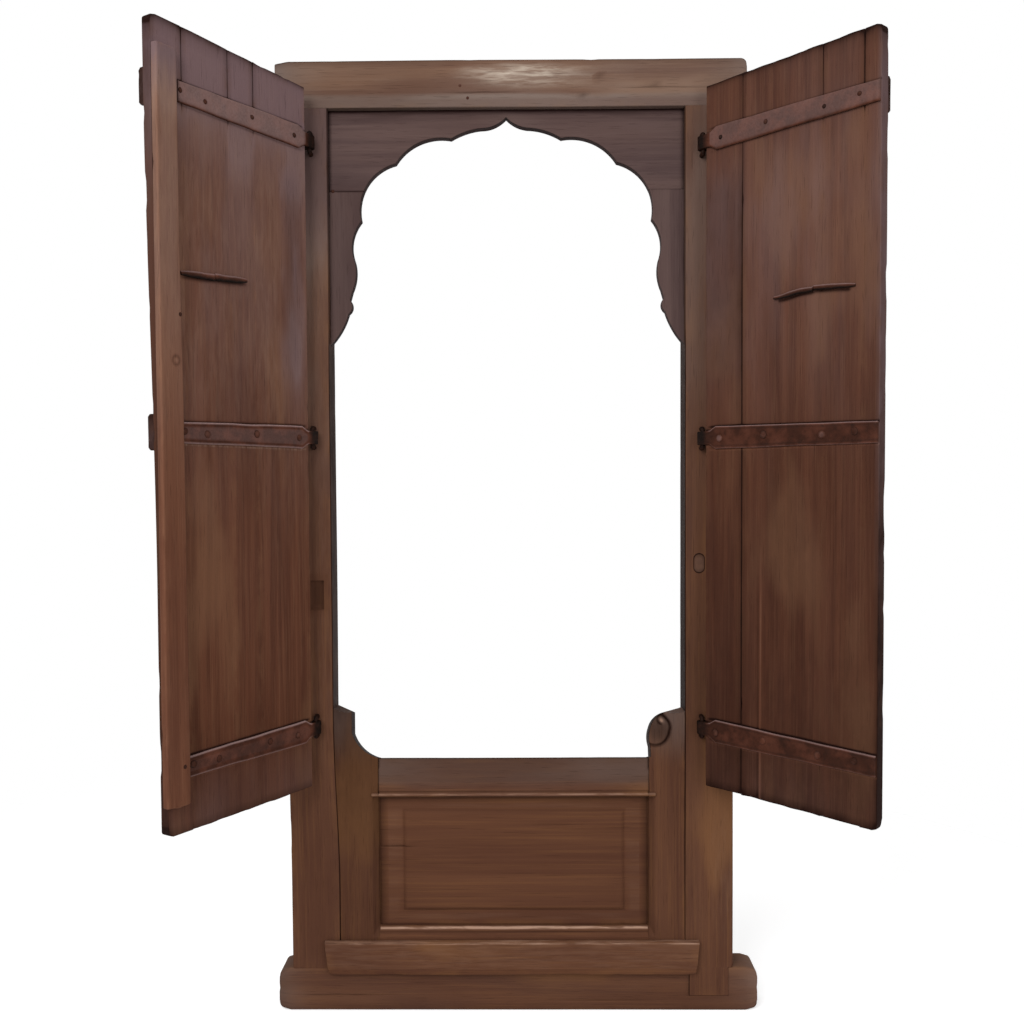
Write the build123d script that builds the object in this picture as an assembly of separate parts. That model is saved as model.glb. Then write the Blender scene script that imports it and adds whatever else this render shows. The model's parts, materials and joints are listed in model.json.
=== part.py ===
from build123d import *
import os

# Timber window frame with a cusped arch, a panelled dado and two plank leaves on strap hinges.
# Millimetres. X to the right, Y from the front of the frame to its back, Z up.
# The origin lies under the middle of the opening, halfway through the frame, on the sill's bed.

# Main frame
FRAME_DEPTH = 66.0
OPENING_HALF = 353.0
LEFT_POST_WIDTH = 92.0
RIGHT_POST_WIDTH = 97.0
POST_SOFTENING = 3.0
SILL_HEIGHT = 88.0
SILL_LEFT_HORN = 23.5
SILL_RIGHT_HORN = 50.5
SILL_END_RADIUS = 18.0
HEADER_BOTTOM = 1808.0
HEADER_HEIGHT = 92.0
HEADER_LEFT_HORN = 10.0
HEADER_RIGHT_HORN = 24.0
HEADER_END_CHAMFER = 12.0
FOOT_LAP_DROP = 58.0
FOOT_LAP_DEPTH = 14.0
FOOT_LAP_INSET = 9.0

# Marks left in the posts
PEG_WIDTH = 24.0
PEG_HEIGHT = 42.0
PEG_DEPTH = 30.0
PEG_PROUD = 1.5
PEG_FROM_OPENING = 28.0
PEG_Z = 907.0
SOCKET_WIDTH = 27.0
SOCKET_HEIGHT = 58.0
SOCKET_DEPTH = 6.0
SOCKET_FROM_OPENING = 30.0
SOCKET_Z = 846.0

# Cusped arch: three boards set back from the front
ARCH_SETBACK = 15.0
ARCH_THICKNESS = 22.0
ARCH_RISE = 463.0
ARCH_SEAM_DROP = 158.0

# Dado below the opening
DADO_THICKNESS = 45.0
LEFT_STILE_WIDTH = 90.0
RIGHT_STILE_WIDTH = 73.0
STILE_BEVEL = 14.0
CUTTER_LEAD = 1.0
RAIL_TOP = 505.0
RAIL_HEIGHT = 68.0
RAIL_BEAD_RADIUS = 4.5
RAIL_BEAD_PROUD = 3.5
BOTTOM_RAIL_TOP = 171.0
BOTTOM_RAIL_BEVEL = 20.0
PANEL_SETBACK = 14.0
PANEL_THICKNESS = 14.0
FIELD_SIDE_MARGIN = 48.0
FIELD_END_MARGIN = 30.0
FIELD_RISE = 4.0
FIELD_BEVEL = 7.0
PLINTH_HEIGHT = 67.0
PLINTH_THICKNESS = 12.0
PLINTH_LAP_ON_LEFT_POST = 21.0
PLINTH_LAP_ON_RIGHT_POST = 29.0
PLINTH_LAP_ON_SILL = 10.0
PLINTH_END_SLANT = 6.5
PLINTH_ROUNDING = 5.0

# Shaped tops of the dado stiles, heights above the dado's top rail
SCROLL_HEIGHT = 103.0
SCROLL_NECK = 4.5
VOLUTE_RADIUS = 20.0
VOLUTE_GROOVE = 5.0
VOLUTE_DEPTH = 5.0
BROKEN_HEIGHT = 111.0
BROKEN_STUB = 37.0
BROKEN_SWEEP = 50.0

# Hinges: a strap with a rolled eye turns on an iron staple in the post
HINGE_FROM_OPENING = 32.0
HINGE_STANDOFF = 16.0
HINGE_REACH = 24.0
EYE_RADIUS = 10.5
EYE_HEIGHT = 26.0
EYE_CLEARANCE = 0.4
STRAP_THICKNESS = 5.0
STRAP_ROOT_HEIGHT = 44.0
STRAP_END_HEIGHT = 36.0
STRAP_SHOULDER = 14.0
STAPLE_RADIUS = 5.0
FORGED_SIDES = 8
RING_RUNS = 20
STAPLE_PLAY = 1.0
STAPLE_BEND = 3.0
STAPLE_BITE = 38.0
STAPLE_HOLE_CLEARANCE = 0.2
LEFT_LOW_HINGE_RISE = 116.0
LEFT_TOP_HINGE_DROP = 100.0
RIGHT_LOW_HINGE_RISE = 114.0
RIGHT_TOP_HINGE_DROP = 108.0

# Leaves: planks held by battens on the face turned away from the arch
LEAF_LAP_ON_RAIL = 38.0
LEAF_LAP_ON_HEADER = 29.0
LEAF_THICKNESS = 20.0
LEFT_HEAD_RISE = 16.0
RIGHT_HEAD_RISE = 6.0
MEETING_GAP = 8.0
PLANK_CHAMFER = 1.5
LEFT_SEAM_SHARES = (0.361, 0.532, 0.821)
RIGHT_SEAM_SHARES = (0.207, 0.686, 0.910)
CORNER_CHIP = 9.0
BATTEN_HEIGHT = 62.0
BATTEN_THICKNESS = 16.0
BATTEN_INSET = 40.0
BATTEN_CHAMFER = 5.0
LOW_BATTEN_STOP = 36.0
ASTRAGAL_WIDTH = 50.0
ASTRAGAL_THICKNESS = 14.0
ASTRAGAL_ROUNDING = 4.0
ASTRAGAL_FOOT_CLEARANCE = 11.0
ASTRAGAL_HEAD_CLEARANCE = 5.0
STRAP_TO_ASTRAGAL = 3.0
STRAP_TO_EDGE = 2.0
LEFT_OPEN = 122.0
RIGHT_OPEN = 132.0

# Ring pulls on the hidden face, held by split pins clinched on the visible face
PIN_SHARE = 0.6387
PIN_TO_ASTRAGAL = 3.0
LEFT_PIN_RISE = 276.0
RIGHT_PIN_RISE = 259.0
PIN_RADIUS = 4.0
PIN_LEG_THICKNESS = 4.0
PIN_HOLE_CLEARANCE = 0.3
PIN_EYE_RADIUS = 9.0
PULL_RADIUS = 30.0
PULL_WIRE = 3.5
PULL_CLEARANCE = 0.6

# Places worked out from the sizes above
FRONT = -FRAME_DEPTH / 2
LEFT_POST_OUTER = -OPENING_HALF - LEFT_POST_WIDTH
RIGHT_POST_OUTER = OPENING_HALF + RIGHT_POST_WIDTH
HEADER_TOP = HEADER_BOTTOM + HEADER_HEIGHT
LEFT_STILE_INNER = -OPENING_HALF + LEFT_STILE_WIDTH
RIGHT_STILE_INNER = OPENING_HALF - RIGHT_STILE_WIDTH
RAIL_BOTTOM = RAIL_TOP - RAIL_HEIGHT
SPRING_Z = HEADER_BOTTOM - ARCH_RISE
SEAM_Z = HEADER_BOTTOM - ARCH_SEAM_DROP
HINGE_X = OPENING_HALF + HINGE_FROM_OPENING
HINGE_Y = FRONT - HINGE_STANDOFF
LEAF_BOTTOM = RAIL_TOP - LEAF_LAP_ON_RAIL
LEAF_TOP = HEADER_BOTTOM + LEAF_LAP_ON_HEADER
LEAF_WIDTH = HINGE_X - HINGE_REACH - MEETING_GAP / 2
LEAF_REAR = EYE_RADIUS - STRAP_THICKNESS
LEAF_OUTER = LEAF_REAR - LEAF_THICKNESS
FREE_EDGE = HINGE_REACH + LEAF_WIDTH
PIN_X = HINGE_REACH + PIN_SHARE * LEAF_WIDTH
PIN_LEG_LENGTH = FREE_EDGE - ASTRAGAL_WIDTH - PIN_TO_ASTRAGAL - PIN_X
PIN_EYE_Y = LEAF_OUTER - PIN_EYE_RADIUS - PIN_RADIUS
STAPLE_HALF = EYE_HEIGHT / 2 + STAPLE_PLAY + STAPLE_RADIUS
PLINTH_BOTTOM = SILL_HEIGHT - PLINTH_LAP_ON_SILL


def hinge_heights(low_rise, top_drop):
    """Heights of a leaf's three hinges, the middle one halfway between the others."""
    low = LEAF_BOTTOM + low_rise
    top = LEAF_TOP - top_drop
    return (low, (low + top) / 2, top)


LEFT_HINGE_HEIGHTS = hinge_heights(LEFT_LOW_HINGE_RISE, LEFT_TOP_HINGE_DROP)
RIGHT_HINGE_HEIGHTS = hinge_heights(RIGHT_LOW_HINGE_RISE, RIGHT_TOP_HINGE_DROP)
LEFT_PIN_Z = LEFT_HINGE_HEIGHTS[1] + LEFT_PIN_RISE
RIGHT_PIN_Z = RIGHT_HINGE_HEIGHTS[1] + RIGHT_PIN_RISE


def slab(x0, x1, y0, y1, z0, z1):
    """A block between two corners."""
    middle = Pos((x0 + x1) / 2, (y0 + y1) / 2, (z0 + z1) / 2)
    return middle * Box(x1 - x0, y1 - y0, z1 - z0)


def timber(x0, x1, setback, thickness, z0, z1):
    """A block of the fixed frame, its depth counted back from the frame's front."""
    return slab(x0, x1, FRONT + setback, FRONT + setback + thickness, z0, z1)


def cut_board(outline, setback, thickness):
    """A board sawn to an outline drawn in X and Z, its front at the given setback."""
    back = Plane.XZ.offset(-(FRONT + setback + thickness))
    return extrude(back * outline, amount=thickness)


def rod(start, end, radius):
    """A straight forged bar that runs from front to back, from one point to another."""
    axis = Vector(*end) - Vector(*start)
    foot = Plane(origin=start, x_dir=(1, 0, 0), z_dir=axis)
    return extrude(foot * forged(radius), amount=axis.length)


def forged(radius):
    """The eight-sided section of a bar drawn out under the hammer."""
    return RegularPolygon(radius, FORGED_SIDES)


def bent_bar(points, radius, square_to):
    """A forged bar through the points with mitred bends, all bent square to one direction."""
    path = Polyline(*points)
    foot = Plane(origin=path @ 0, x_dir=square_to, z_dir=path % 0)
    return sweep(foot * forged(radius), path=path, transition=Transition.RIGHT)


def forged_ring(radius, bar_radius):
    """A forged bar bent in short runs into a closed ring about Z, joined in the middle of a run."""
    turns = [360 / RING_RUNS * step for step in range(RING_RUNS)]
    corners = [Vector(radius, 0, 0).rotate(Axis.Z, turn) for turn in turns]
    seam = (corners[-1] + corners[0]) / 2
    return bent_bar([seam, *corners, seam], bar_radius, (0, 0, 1))


def make_sill():
    """Sill beam with worn round ends, and a housing for the right post's foot."""
    left = LEFT_POST_OUTER - SILL_LEFT_HORN
    right = RIGHT_POST_OUTER + SILL_RIGHT_HORN
    outline = Pos((left + right) / 2, SILL_HEIGHT / 2) * RectangleRounded(
        right - left, SILL_HEIGHT, SILL_END_RADIUS)
    return cut_board(outline, 0, FRAME_DEPTH) - foot_lap()


def foot_lap():
    """The tongue of the right post that laps down over the sill's front."""
    inner = OPENING_HALF + FOOT_LAP_INSET
    outer = RIGHT_POST_OUTER - FOOT_LAP_INSET
    return timber(inner, outer, 0, FOOT_LAP_DEPTH, SILL_HEIGHT - FOOT_LAP_DROP, SILL_HEIGHT)


def make_header():
    """Header beam resting on both posts, its upper ends worn away."""
    left = LEFT_POST_OUTER - HEADER_LEFT_HORN
    right = RIGHT_POST_OUTER + HEADER_RIGHT_HORN
    beam = timber(left, right, 0, FRAME_DEPTH, HEADER_BOTTOM, HEADER_TOP)
    upper_ends = beam.edges().filter_by(Axis.Y).group_by(Axis.Z)[-1]
    return chamfer(upper_ends, HEADER_END_CHAMFER)


def staple_holes(side, heights):
    """The drilled holes that a post's hinge staples are driven into."""
    holes = []
    for height in heights:
        for leg in (-STAPLE_HALF, STAPLE_HALF):
            mouth = (side * HINGE_X, FRONT - 1, height + leg)
            bottom = (side * HINGE_X, FRONT + STAPLE_BITE + 1, height + leg)
            holes.append(rod(mouth, bottom, STAPLE_RADIUS + STAPLE_HOLE_CLEARANCE))
    return holes


def post_blank(side):
    """A square post with eased corners, before its holes and housings."""
    inner = side * OPENING_HALF
    outer = LEFT_POST_OUTER if side < 0 else RIGHT_POST_OUTER
    blank = timber(min(inner, outer), max(inner, outer), 0, FRAME_DEPTH, SILL_HEIGHT, HEADER_BOTTOM)
    outer_edges = blank.edges().filter_by(Axis.Z).sort_by(Axis.X)
    worn = outer_edges[:2] if side < 0 else outer_edges[-2:]
    return chamfer(worn, POST_SOFTENING)


def make_left_post():
    """Left post with the old bolt socket in its front."""
    socket_x = -OPENING_HALF - SOCKET_FROM_OPENING
    socket = timber(socket_x - SOCKET_WIDTH / 2, socket_x + SOCKET_WIDTH / 2, -1, SOCKET_DEPTH + 1,
                    SOCKET_Z - SOCKET_HEIGHT / 2, SOCKET_Z + SOCKET_HEIGHT / 2)
    return post_blank(-1) - staple_holes(-1, LEFT_HINGE_HEIGHTS) - socket


def peg(extra):
    """The round-ended peg driven into the right post, grown by an allowance at its inner end."""
    outline = Pos(OPENING_HALF + PEG_FROM_OPENING, PEG_Z) * Rot(0, 0, 90) * SlotOverall(PEG_HEIGHT, PEG_WIDTH)
    return cut_board(outline, -PEG_PROUD - extra, PEG_DEPTH + PEG_PROUD + extra)


def make_right_post():
    """Right post with its lapped foot and the hole for the peg."""
    return post_blank(1) + foot_lap() - staple_holes(1, RIGHT_HINGE_HEIGHTS) - peg(1)


def arch_point(across, up):
    """A point of the arch as shares of its half span and of its rise."""
    return (across * OPENING_HALF, SPRING_Z + up * ARCH_RISE)


def arch_edge():
    """The right half of the cusped edge, from the apex down to the post: one arc for each lobe."""
    apex = arch_point(0, 0.968)
    ogee_turn = arch_point(0.119, 0.923)
    first_cusp = arch_point(0.309, 0.879)
    second_cusp = arch_point(0.622, 0.775)
    third_cusp = arch_point(0.818, 0.533)
    waist_top = arch_point(0.858, 0.361)
    waist_foot = arch_point(0.873, 0.231)
    bead_top = arch_point(0.887, 0.194)
    bead_foot = arch_point(0.896, 0.136)
    spring = arch_point(1, 0)
    return [
        ThreePointArc(apex, arch_point(0.048, 0.940), ogee_turn),
        ThreePointArc(ogee_turn, arch_point(0.215, 0.911), first_cusp),
        ThreePointArc(first_cusp, arch_point(0.493, 0.862), second_cusp),
        ThreePointArc(second_cusp, arch_point(0.765, 0.706), third_cusp),
        ThreePointArc(third_cusp, arch_point(0.867, 0.456), waist_top),
        ThreePointArc(waist_top, arch_point(0.850, 0.302), waist_foot),
        Line(waist_foot, bead_top),
        ThreePointArc(bead_top, arch_point(0.875, 0.163), bead_foot),
        ThreePointArc(bead_foot, arch_point(0.924, 0.082), spring),
    ]


def arch_half():
    """The right half of the arch, one board thick, before it is sawn into boards."""
    spring = arch_point(1, 0)
    corner = arch_point(1, 1)
    crown = arch_point(0, 1)
    sides = [Line(spring, corner), Line(corner, crown), Line(crown, arch_point(0, 0.968))]
    return cut_board(make_face(arch_edge() + sides), ARCH_SETBACK, ARCH_THICKNESS)


def make_arch():
    """The arch sawn at its seams: a head board over two cheeks."""
    right = arch_half()
    left = mirror(right, about=Plane.YZ)
    above = timber(-OPENING_HALF, OPENING_HALF, 0, FRAME_DEPTH, SEAM_Z, HEADER_BOTTOM)
    head = (right & above) + (left & above)
    return {
        "arch_head_board": head,
        "left_arch_cheek": left - above,
        "right_arch_cheek": right - above,
    }


def make_left_stile():
    """Left dado stile: its scroll has broken away to a stub above a hollow sweep."""
    post = -OPENING_HALF
    inner = LEFT_STILE_INNER
    stub = post + BROKEN_STUB
    sweep_top = RAIL_TOP + BROKEN_SWEEP
    stub_top = RAIL_TOP + BROKEN_HEIGHT - BROKEN_STUB / 2.5
    sides = Polyline((inner, RAIL_TOP), (inner, SILL_HEIGHT), (post, SILL_HEIGHT),
                     (post, RAIL_TOP + BROKEN_HEIGHT), (stub, stub_top), (stub, sweep_top))
    hollow = ((stub + inner) / 2 - BROKEN_SWEEP / 6, RAIL_TOP + BROKEN_SWEEP * 0.4)
    sweep_edge = ThreePointArc((stub, sweep_top), hollow, (inner, RAIL_TOP))
    return cut_board(make_face([sides, sweep_edge]), 0, DADO_THICKNESS) - panel_recess()


def make_right_stile():
    """Right dado stile: a rolled scroll with its volute carved round a boss."""
    post = OPENING_HALF
    inner = RIGHT_STILE_INNER
    neck = inner + SCROLL_NECK
    crown = RAIL_TOP + SCROLL_HEIGHT
    eye = (neck + VOLUTE_RADIUS * 0.9, RAIL_TOP + SCROLL_HEIGHT * 0.65)
    throat = (neck - VOLUTE_RADIUS * 0.05, eye[1] - VOLUTE_RADIUS * 2.25)
    cheek = (neck - VOLUTE_RADIUS * 0.05, eye[1] - VOLUTE_RADIUS * 0.35)
    brow = (eye[0] + VOLUTE_RADIUS * 0.7, crown - SCROLL_HEIGHT * 0.1)
    sides = Polyline((post, crown), (post, SILL_HEIGHT), (inner, SILL_HEIGHT), (inner, RAIL_TOP),
                     (neck, RAIL_TOP), throat)
    nose = ThreePointArc(throat, (neck - VOLUTE_RADIUS * 0.2, eye[1] - VOLUTE_RADIUS * 1.15), cheek)
    forehead = ThreePointArc(cheek, (eye[0] - VOLUTE_RADIUS * 0.28, eye[1] + VOLUTE_RADIUS * 0.78), brow)
    back = Line(brow, (post, crown))
    stile = cut_board(make_face([sides, nose, forehead, back]), 0, DADO_THICKNESS)
    return stile - panel_recess() - volute_groove(eye)


def volute_groove(eye):
    """The carved line of the scroll: in from the nose, up round the boss, and curled over its top."""

    def at(across, up):
        return (eye[0] + across * VOLUTE_RADIUS, eye[1] + up * VOLUTE_RADIUS)

    belly = ThreePointArc(at(-1.25, -2.05), at(0.35, -1.5), at(1.0, -0.2))
    shoulder = ThreePointArc(at(1.0, -0.2), at(0.95, 0.55), at(0.4, 1.0))
    curl = ThreePointArc(at(0.4, 1.0), at(-0.15, 0.75), at(0.1, 0.3))
    line = trace([belly, shoulder, curl], line_width=VOLUTE_GROOVE)
    return cut_board(line, -1, VOLUTE_DEPTH + 1)


def panel_recess():
    """The recess in front of the panel, its foot and sides bevelled out to the front with mitred corners."""

    def outline(setback):
        spread = 1 - setback / PANEL_SETBACK
        left = LEFT_STILE_INNER - STILE_BEVEL * spread
        right = RIGHT_STILE_INNER + STILE_BEVEL * spread
        foot = BOTTOM_RAIL_TOP - BOTTOM_RAIL_BEVEL * spread
        middle = Pos((left + right) / 2, (foot + RAIL_BOTTOM) / 2)
        return Plane.XZ.offset(-(FRONT + setback)) * middle * Rectangle(right - left, RAIL_BOTTOM - foot)

    return loft([outline(-CUTTER_LEAD), outline(PANEL_SETBACK)])


def make_top_rail():
    """Top rail of the dado; the bead along its lower edge runs on over the heads of the stiles' bevels."""
    rail = timber(LEFT_STILE_INNER, RIGHT_STILE_INNER, 0, DADO_THICKNESS, RAIL_BOTTOM, RAIL_TOP)
    left = LEFT_STILE_INNER - STILE_BEVEL
    right = RIGHT_STILE_INNER + STILE_BEVEL
    round_end = Pos(FRONT - RAIL_BEAD_PROUD + RAIL_BEAD_RADIUS, RAIL_BOTTOM + RAIL_BEAD_RADIUS)
    left_end = Plane.YZ.offset(left) * round_end
    bead = extrude(left_end * Circle(RAIL_BEAD_RADIUS), amount=right - left)
    stiles = [timber(start, end, 0, DADO_THICKNESS, RAIL_BOTTOM, RAIL_TOP)
              for start, end in ((left, LEFT_STILE_INNER), (RIGHT_STILE_INNER, right))]
    return rail + (bead - stiles)


def make_bottom_rail():
    """Bottom rail of the dado, its top sloped back to the panel."""
    rail = timber(LEFT_STILE_INNER, RIGHT_STILE_INNER, 0, DADO_THICKNESS, SILL_HEIGHT, BOTTOM_RAIL_TOP)
    return rail - panel_recess()


def make_panel():
    """Dado panel with a low raised field."""
    back = timber(LEFT_STILE_INNER, RIGHT_STILE_INNER, PANEL_SETBACK, PANEL_THICKNESS,
                  BOTTOM_RAIL_TOP, RAIL_BOTTOM)
    width = RIGHT_STILE_INNER - LEFT_STILE_INNER - 2 * FIELD_SIDE_MARGIN
    height = RAIL_BOTTOM - BOTTOM_RAIL_TOP - 2 * FIELD_END_MARGIN
    middle = Pos((LEFT_STILE_INNER + RIGHT_STILE_INNER) / 2, (RAIL_BOTTOM + BOTTOM_RAIL_TOP) / 2)
    foot = Plane.XZ.offset(-(FRONT + PANEL_SETBACK)) * middle
    top = Plane.XZ.offset(-(FRONT + PANEL_SETBACK - FIELD_RISE)) * middle
    field = loft([foot * Rectangle(width, height),
                  top * Rectangle(width - 2 * FIELD_BEVEL, height - 2 * FIELD_BEVEL)])
    return back + field


def make_plinth():
    """Plinth board nailed over the feet of the dado and the sill's upper edge."""
    left = -OPENING_HALF - PLINTH_LAP_ON_LEFT_POST
    right = OPENING_HALF + PLINTH_LAP_ON_RIGHT_POST
    top = PLINTH_BOTTOM + PLINTH_HEIGHT
    outline = make_face(Polyline((left, top), (right, top), (right - PLINTH_END_SLANT, PLINTH_BOTTOM),
                                 (left + PLINTH_END_SLANT, PLINTH_BOTTOM), close=True))
    board = cut_board(outline, -PLINTH_THICKNESS, PLINTH_THICKNESS)
    front_top = board.edges().filter_by(Axis.X).group_by(Axis.Z)[-1].sort_by(Axis.Y)[0]
    return fillet(front_top, PLINTH_ROUNDING)


def make_staples(side, heights):
    """Iron staples driven into a post, each standing out far enough to carry a strap's eye."""
    x = side * HINGE_X
    tip = FRONT + STAPLE_BITE
    bend = HINGE_Y + STAPLE_BEND
    straight = STAPLE_HALF - STAPLE_BEND
    half = [(x, tip, STAPLE_HALF), (x, bend, STAPLE_HALF), (x, HINGE_Y, straight)]
    other_half = [(x, y, -z) for x, y, z in reversed(half)]
    staple = bent_bar(half + other_half, STAPLE_RADIUS, (1, 0, 0))
    return Compound(children=[Pos(0, 0, height) * staple for height in heights])


# A leaf is drawn closed, as the left one: X runs from the hinge's axis to the free edge,
# and Y from the leaf's hidden face to the face that meets the frame.

def make_strap(length, height):
    """Tapered iron strap on the leaf, rolled at its root into the hinge's eye."""
    root = HINGE_REACH + STRAP_SHOULDER
    outline = make_face(Polyline(
        (0, -EYE_HEIGHT / 2), (HINGE_REACH, -EYE_HEIGHT / 2), (root, -STRAP_ROOT_HEIGHT / 2),
        (length, -STRAP_END_HEIGHT / 2), (length, STRAP_END_HEIGHT / 2),
        (root, STRAP_ROOT_HEIGHT / 2), (HINGE_REACH, EYE_HEIGHT / 2), (0, EYE_HEIGHT / 2), close=True))
    plate = extrude(Plane.XZ.offset(-EYE_RADIUS) * outline, amount=STRAP_THICKNESS)
    eye = Cylinder(EYE_RADIUS, EYE_HEIGHT) - Cylinder(STAPLE_RADIUS + EYE_CLEARANCE, EYE_HEIGHT)
    return Pos(0, 0, height) * (plate + eye)


def make_planks(seam_shares, pin_height, head_rise):
    """The planks of a leaf side by side, one drilled for the split pin, the last with worn corners.

    Their heads are sawn off along one line, which rises to the free edge."""
    shares = (0, *seam_shares, 1)
    planks = []
    for near, far in zip(shares[:-1], shares[1:]):
        start = HINGE_REACH + near * LEAF_WIDTH
        end = HINGE_REACH + far * LEAF_WIDTH
        near_top = LEAF_TOP + near * head_rise
        far_top = LEAF_TOP + far * head_rise
        outline = make_face(Polyline((start, LEAF_BOTTOM), (end, LEAF_BOTTOM), (end, far_top),
                                     (start, near_top), close=True))
        plank = extrude(Plane.XZ.offset(-LEAF_REAR) * outline, amount=LEAF_THICKNESS)
        plank = chamfer(plank.edges().filter_by(Axis.Z), PLANK_CHAMFER)
        if start < PIN_X < end:
            plank = plank - pin_shank(pin_height, PIN_RADIUS + PIN_HOLE_CLEARANCE)
        planks.append(plank)
    free_corners = planks[-1].faces().sort_by(Axis.X)[-1].edges().filter_by(Axis.Y)
    planks[-1] = chamfer(free_corners, CORNER_CHIP, CORNER_CHIP / 2)
    return planks


def pin_shank(height, radius):
    """The round of a split pin through the leaf, from its eye to its bent legs."""
    eye_side = (PIN_X, LEAF_OUTER - PIN_RADIUS, height)
    leg_side = (PIN_X, LEAF_REAR + PIN_LEG_THICKNESS / 2, height)
    return rod(eye_side, leg_side, radius)


def make_batten(height, stop):
    """A batten across the planks on the hidden face, behind a strap."""
    batten = slab(HINGE_REACH + BATTEN_INSET, FREE_EDGE - stop, LEAF_OUTER - BATTEN_THICKNESS, LEAF_OUTER,
                  height - BATTEN_HEIGHT / 2, height + BATTEN_HEIGHT / 2)
    hidden_edges = batten.edges().filter_by(Axis.X).group_by(Axis.Y)[0]
    return chamfer(hidden_edges, BATTEN_CHAMFER)


def make_split_pin(height):
    """Split pin: an eye on the hidden face, a shank, and two legs bent flat on the visible face."""
    legs = slab(PIN_X - PIN_LEG_LENGTH, PIN_X + PIN_LEG_LENGTH, LEAF_REAR, LEAF_REAR + PIN_LEG_THICKNESS,
                height - PIN_RADIUS, height + PIN_RADIUS)
    tips = legs.edges().filter_by(Axis.Y)
    legs = chamfer(tips, PIN_RADIUS * 0.6)
    eye = Pos(PIN_X, PIN_EYE_Y, height) * Rot(0, 90, 0) * forged_ring(PIN_EYE_RADIUS, PIN_RADIUS)
    return legs + pin_shank(height, PIN_RADIUS) + eye


def make_ring_pull(height):
    """Plain iron ring hanging in the split pin's eye."""
    drop = PULL_RADIUS + PIN_EYE_RADIUS - PIN_RADIUS - PULL_WIRE - PULL_CLEARANCE
    hang = Pos(PIN_X, PIN_EYE_Y, height - drop)
    return hang * Rot(90, 0, 0) * forged_ring(PULL_RADIUS, PULL_WIRE)


def make_astragal():
    """Cover strip along the free edge, short enough to close between header and rail."""
    strip = slab(FREE_EDGE - ASTRAGAL_WIDTH, FREE_EDGE, LEAF_REAR, LEAF_REAR + ASTRAGAL_THICKNESS,
                 RAIL_TOP + ASTRAGAL_FOOT_CLEARANCE, HEADER_BOTTOM - ASTRAGAL_HEAD_CLEARANCE)
    front_edges = strip.edges().filter_by(Axis.Z).group_by(Axis.Y)[-1]
    return fillet(front_edges, ASTRAGAL_ROUNDING)


def make_leaf(name, seam_shares, heights, pin_height, strap_end, head_rise):
    """All pieces of one leaf in its drawn place, by node name."""
    places = ("low", "middle", "top")
    stops = (LOW_BATTEN_STOP, 0, 0)
    pieces = {}
    for number, plank in enumerate(make_planks(seam_shares, pin_height, head_rise), start=1):
        pieces[f"{name}_plank_{number}"] = plank
    for place, height, stop in zip(places, heights, stops):
        pieces[f"{name}_{place}_batten"] = make_batten(height, stop)
        pieces[f"{name}_{place}_strap"] = make_strap(strap_end, height)
    pieces[f"{name}_split_pin"] = make_split_pin(pin_height)
    pieces[f"{name}_ring_pull"] = make_ring_pull(pin_height)
    return pieces


def hang_left(piece):
    """Puts a piece of the left leaf on its hinge, opened as it stands."""
    return Pos(-HINGE_X, HINGE_Y, 0) * Rot(0, 0, -LEFT_OPEN) * piece


def hang_right(piece):
    """Puts a piece of the right leaf, mirrored, on its hinge, opened as it stands."""
    return Pos(HINGE_X, HINGE_Y, 0) * Rot(0, 0, RIGHT_OPEN) * mirror(piece, about=Plane.YZ)


def make_nodes():
    """Every piece of the window, by node name."""
    nodes = {
        "sill_beam": make_sill(),
        "left_post": make_left_post(),
        "right_post": make_right_post(),
        "header_beam": make_header(),
        "right_post_peg": peg(0),
        "dado_top_rail": make_top_rail(),
        "dado_bottom_rail": make_bottom_rail(),
        "dado_panel": make_panel(),
        "left_dado_stile": make_left_stile(),
        "right_dado_stile": make_right_stile(),
        "plinth_board": make_plinth(),
        "left_hinge_staples": make_staples(-1, LEFT_HINGE_HEIGHTS),
        "right_hinge_staples": make_staples(1, RIGHT_HINGE_HEIGHTS),
    }
    nodes.update(make_arch())
    left_strap_end = FREE_EDGE - ASTRAGAL_WIDTH - STRAP_TO_ASTRAGAL
    left = make_leaf("left_leaf", LEFT_SEAM_SHARES, LEFT_HINGE_HEIGHTS, LEFT_PIN_Z,
                     left_strap_end, LEFT_HEAD_RISE)
    left["left_leaf_astragal"] = make_astragal()
    right = make_leaf("right_leaf", RIGHT_SEAM_SHARES, RIGHT_HINGE_HEIGHTS, RIGHT_PIN_Z,
                      FREE_EDGE - STRAP_TO_EDGE, RIGHT_HEAD_RISE)
    for name, piece in left.items():
        nodes[name] = hang_left(piece)
    for name, piece in right.items():
        nodes[name] = hang_right(piece)
    return nodes


os.makedirs("parts", exist_ok=True)
for node_name, solid in make_nodes().items():
    export_step(solid, f"parts/{node_name}.step")
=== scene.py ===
import json
import math

import bpy
import numpy as np
from mathutils import Matrix, Vector

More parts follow.
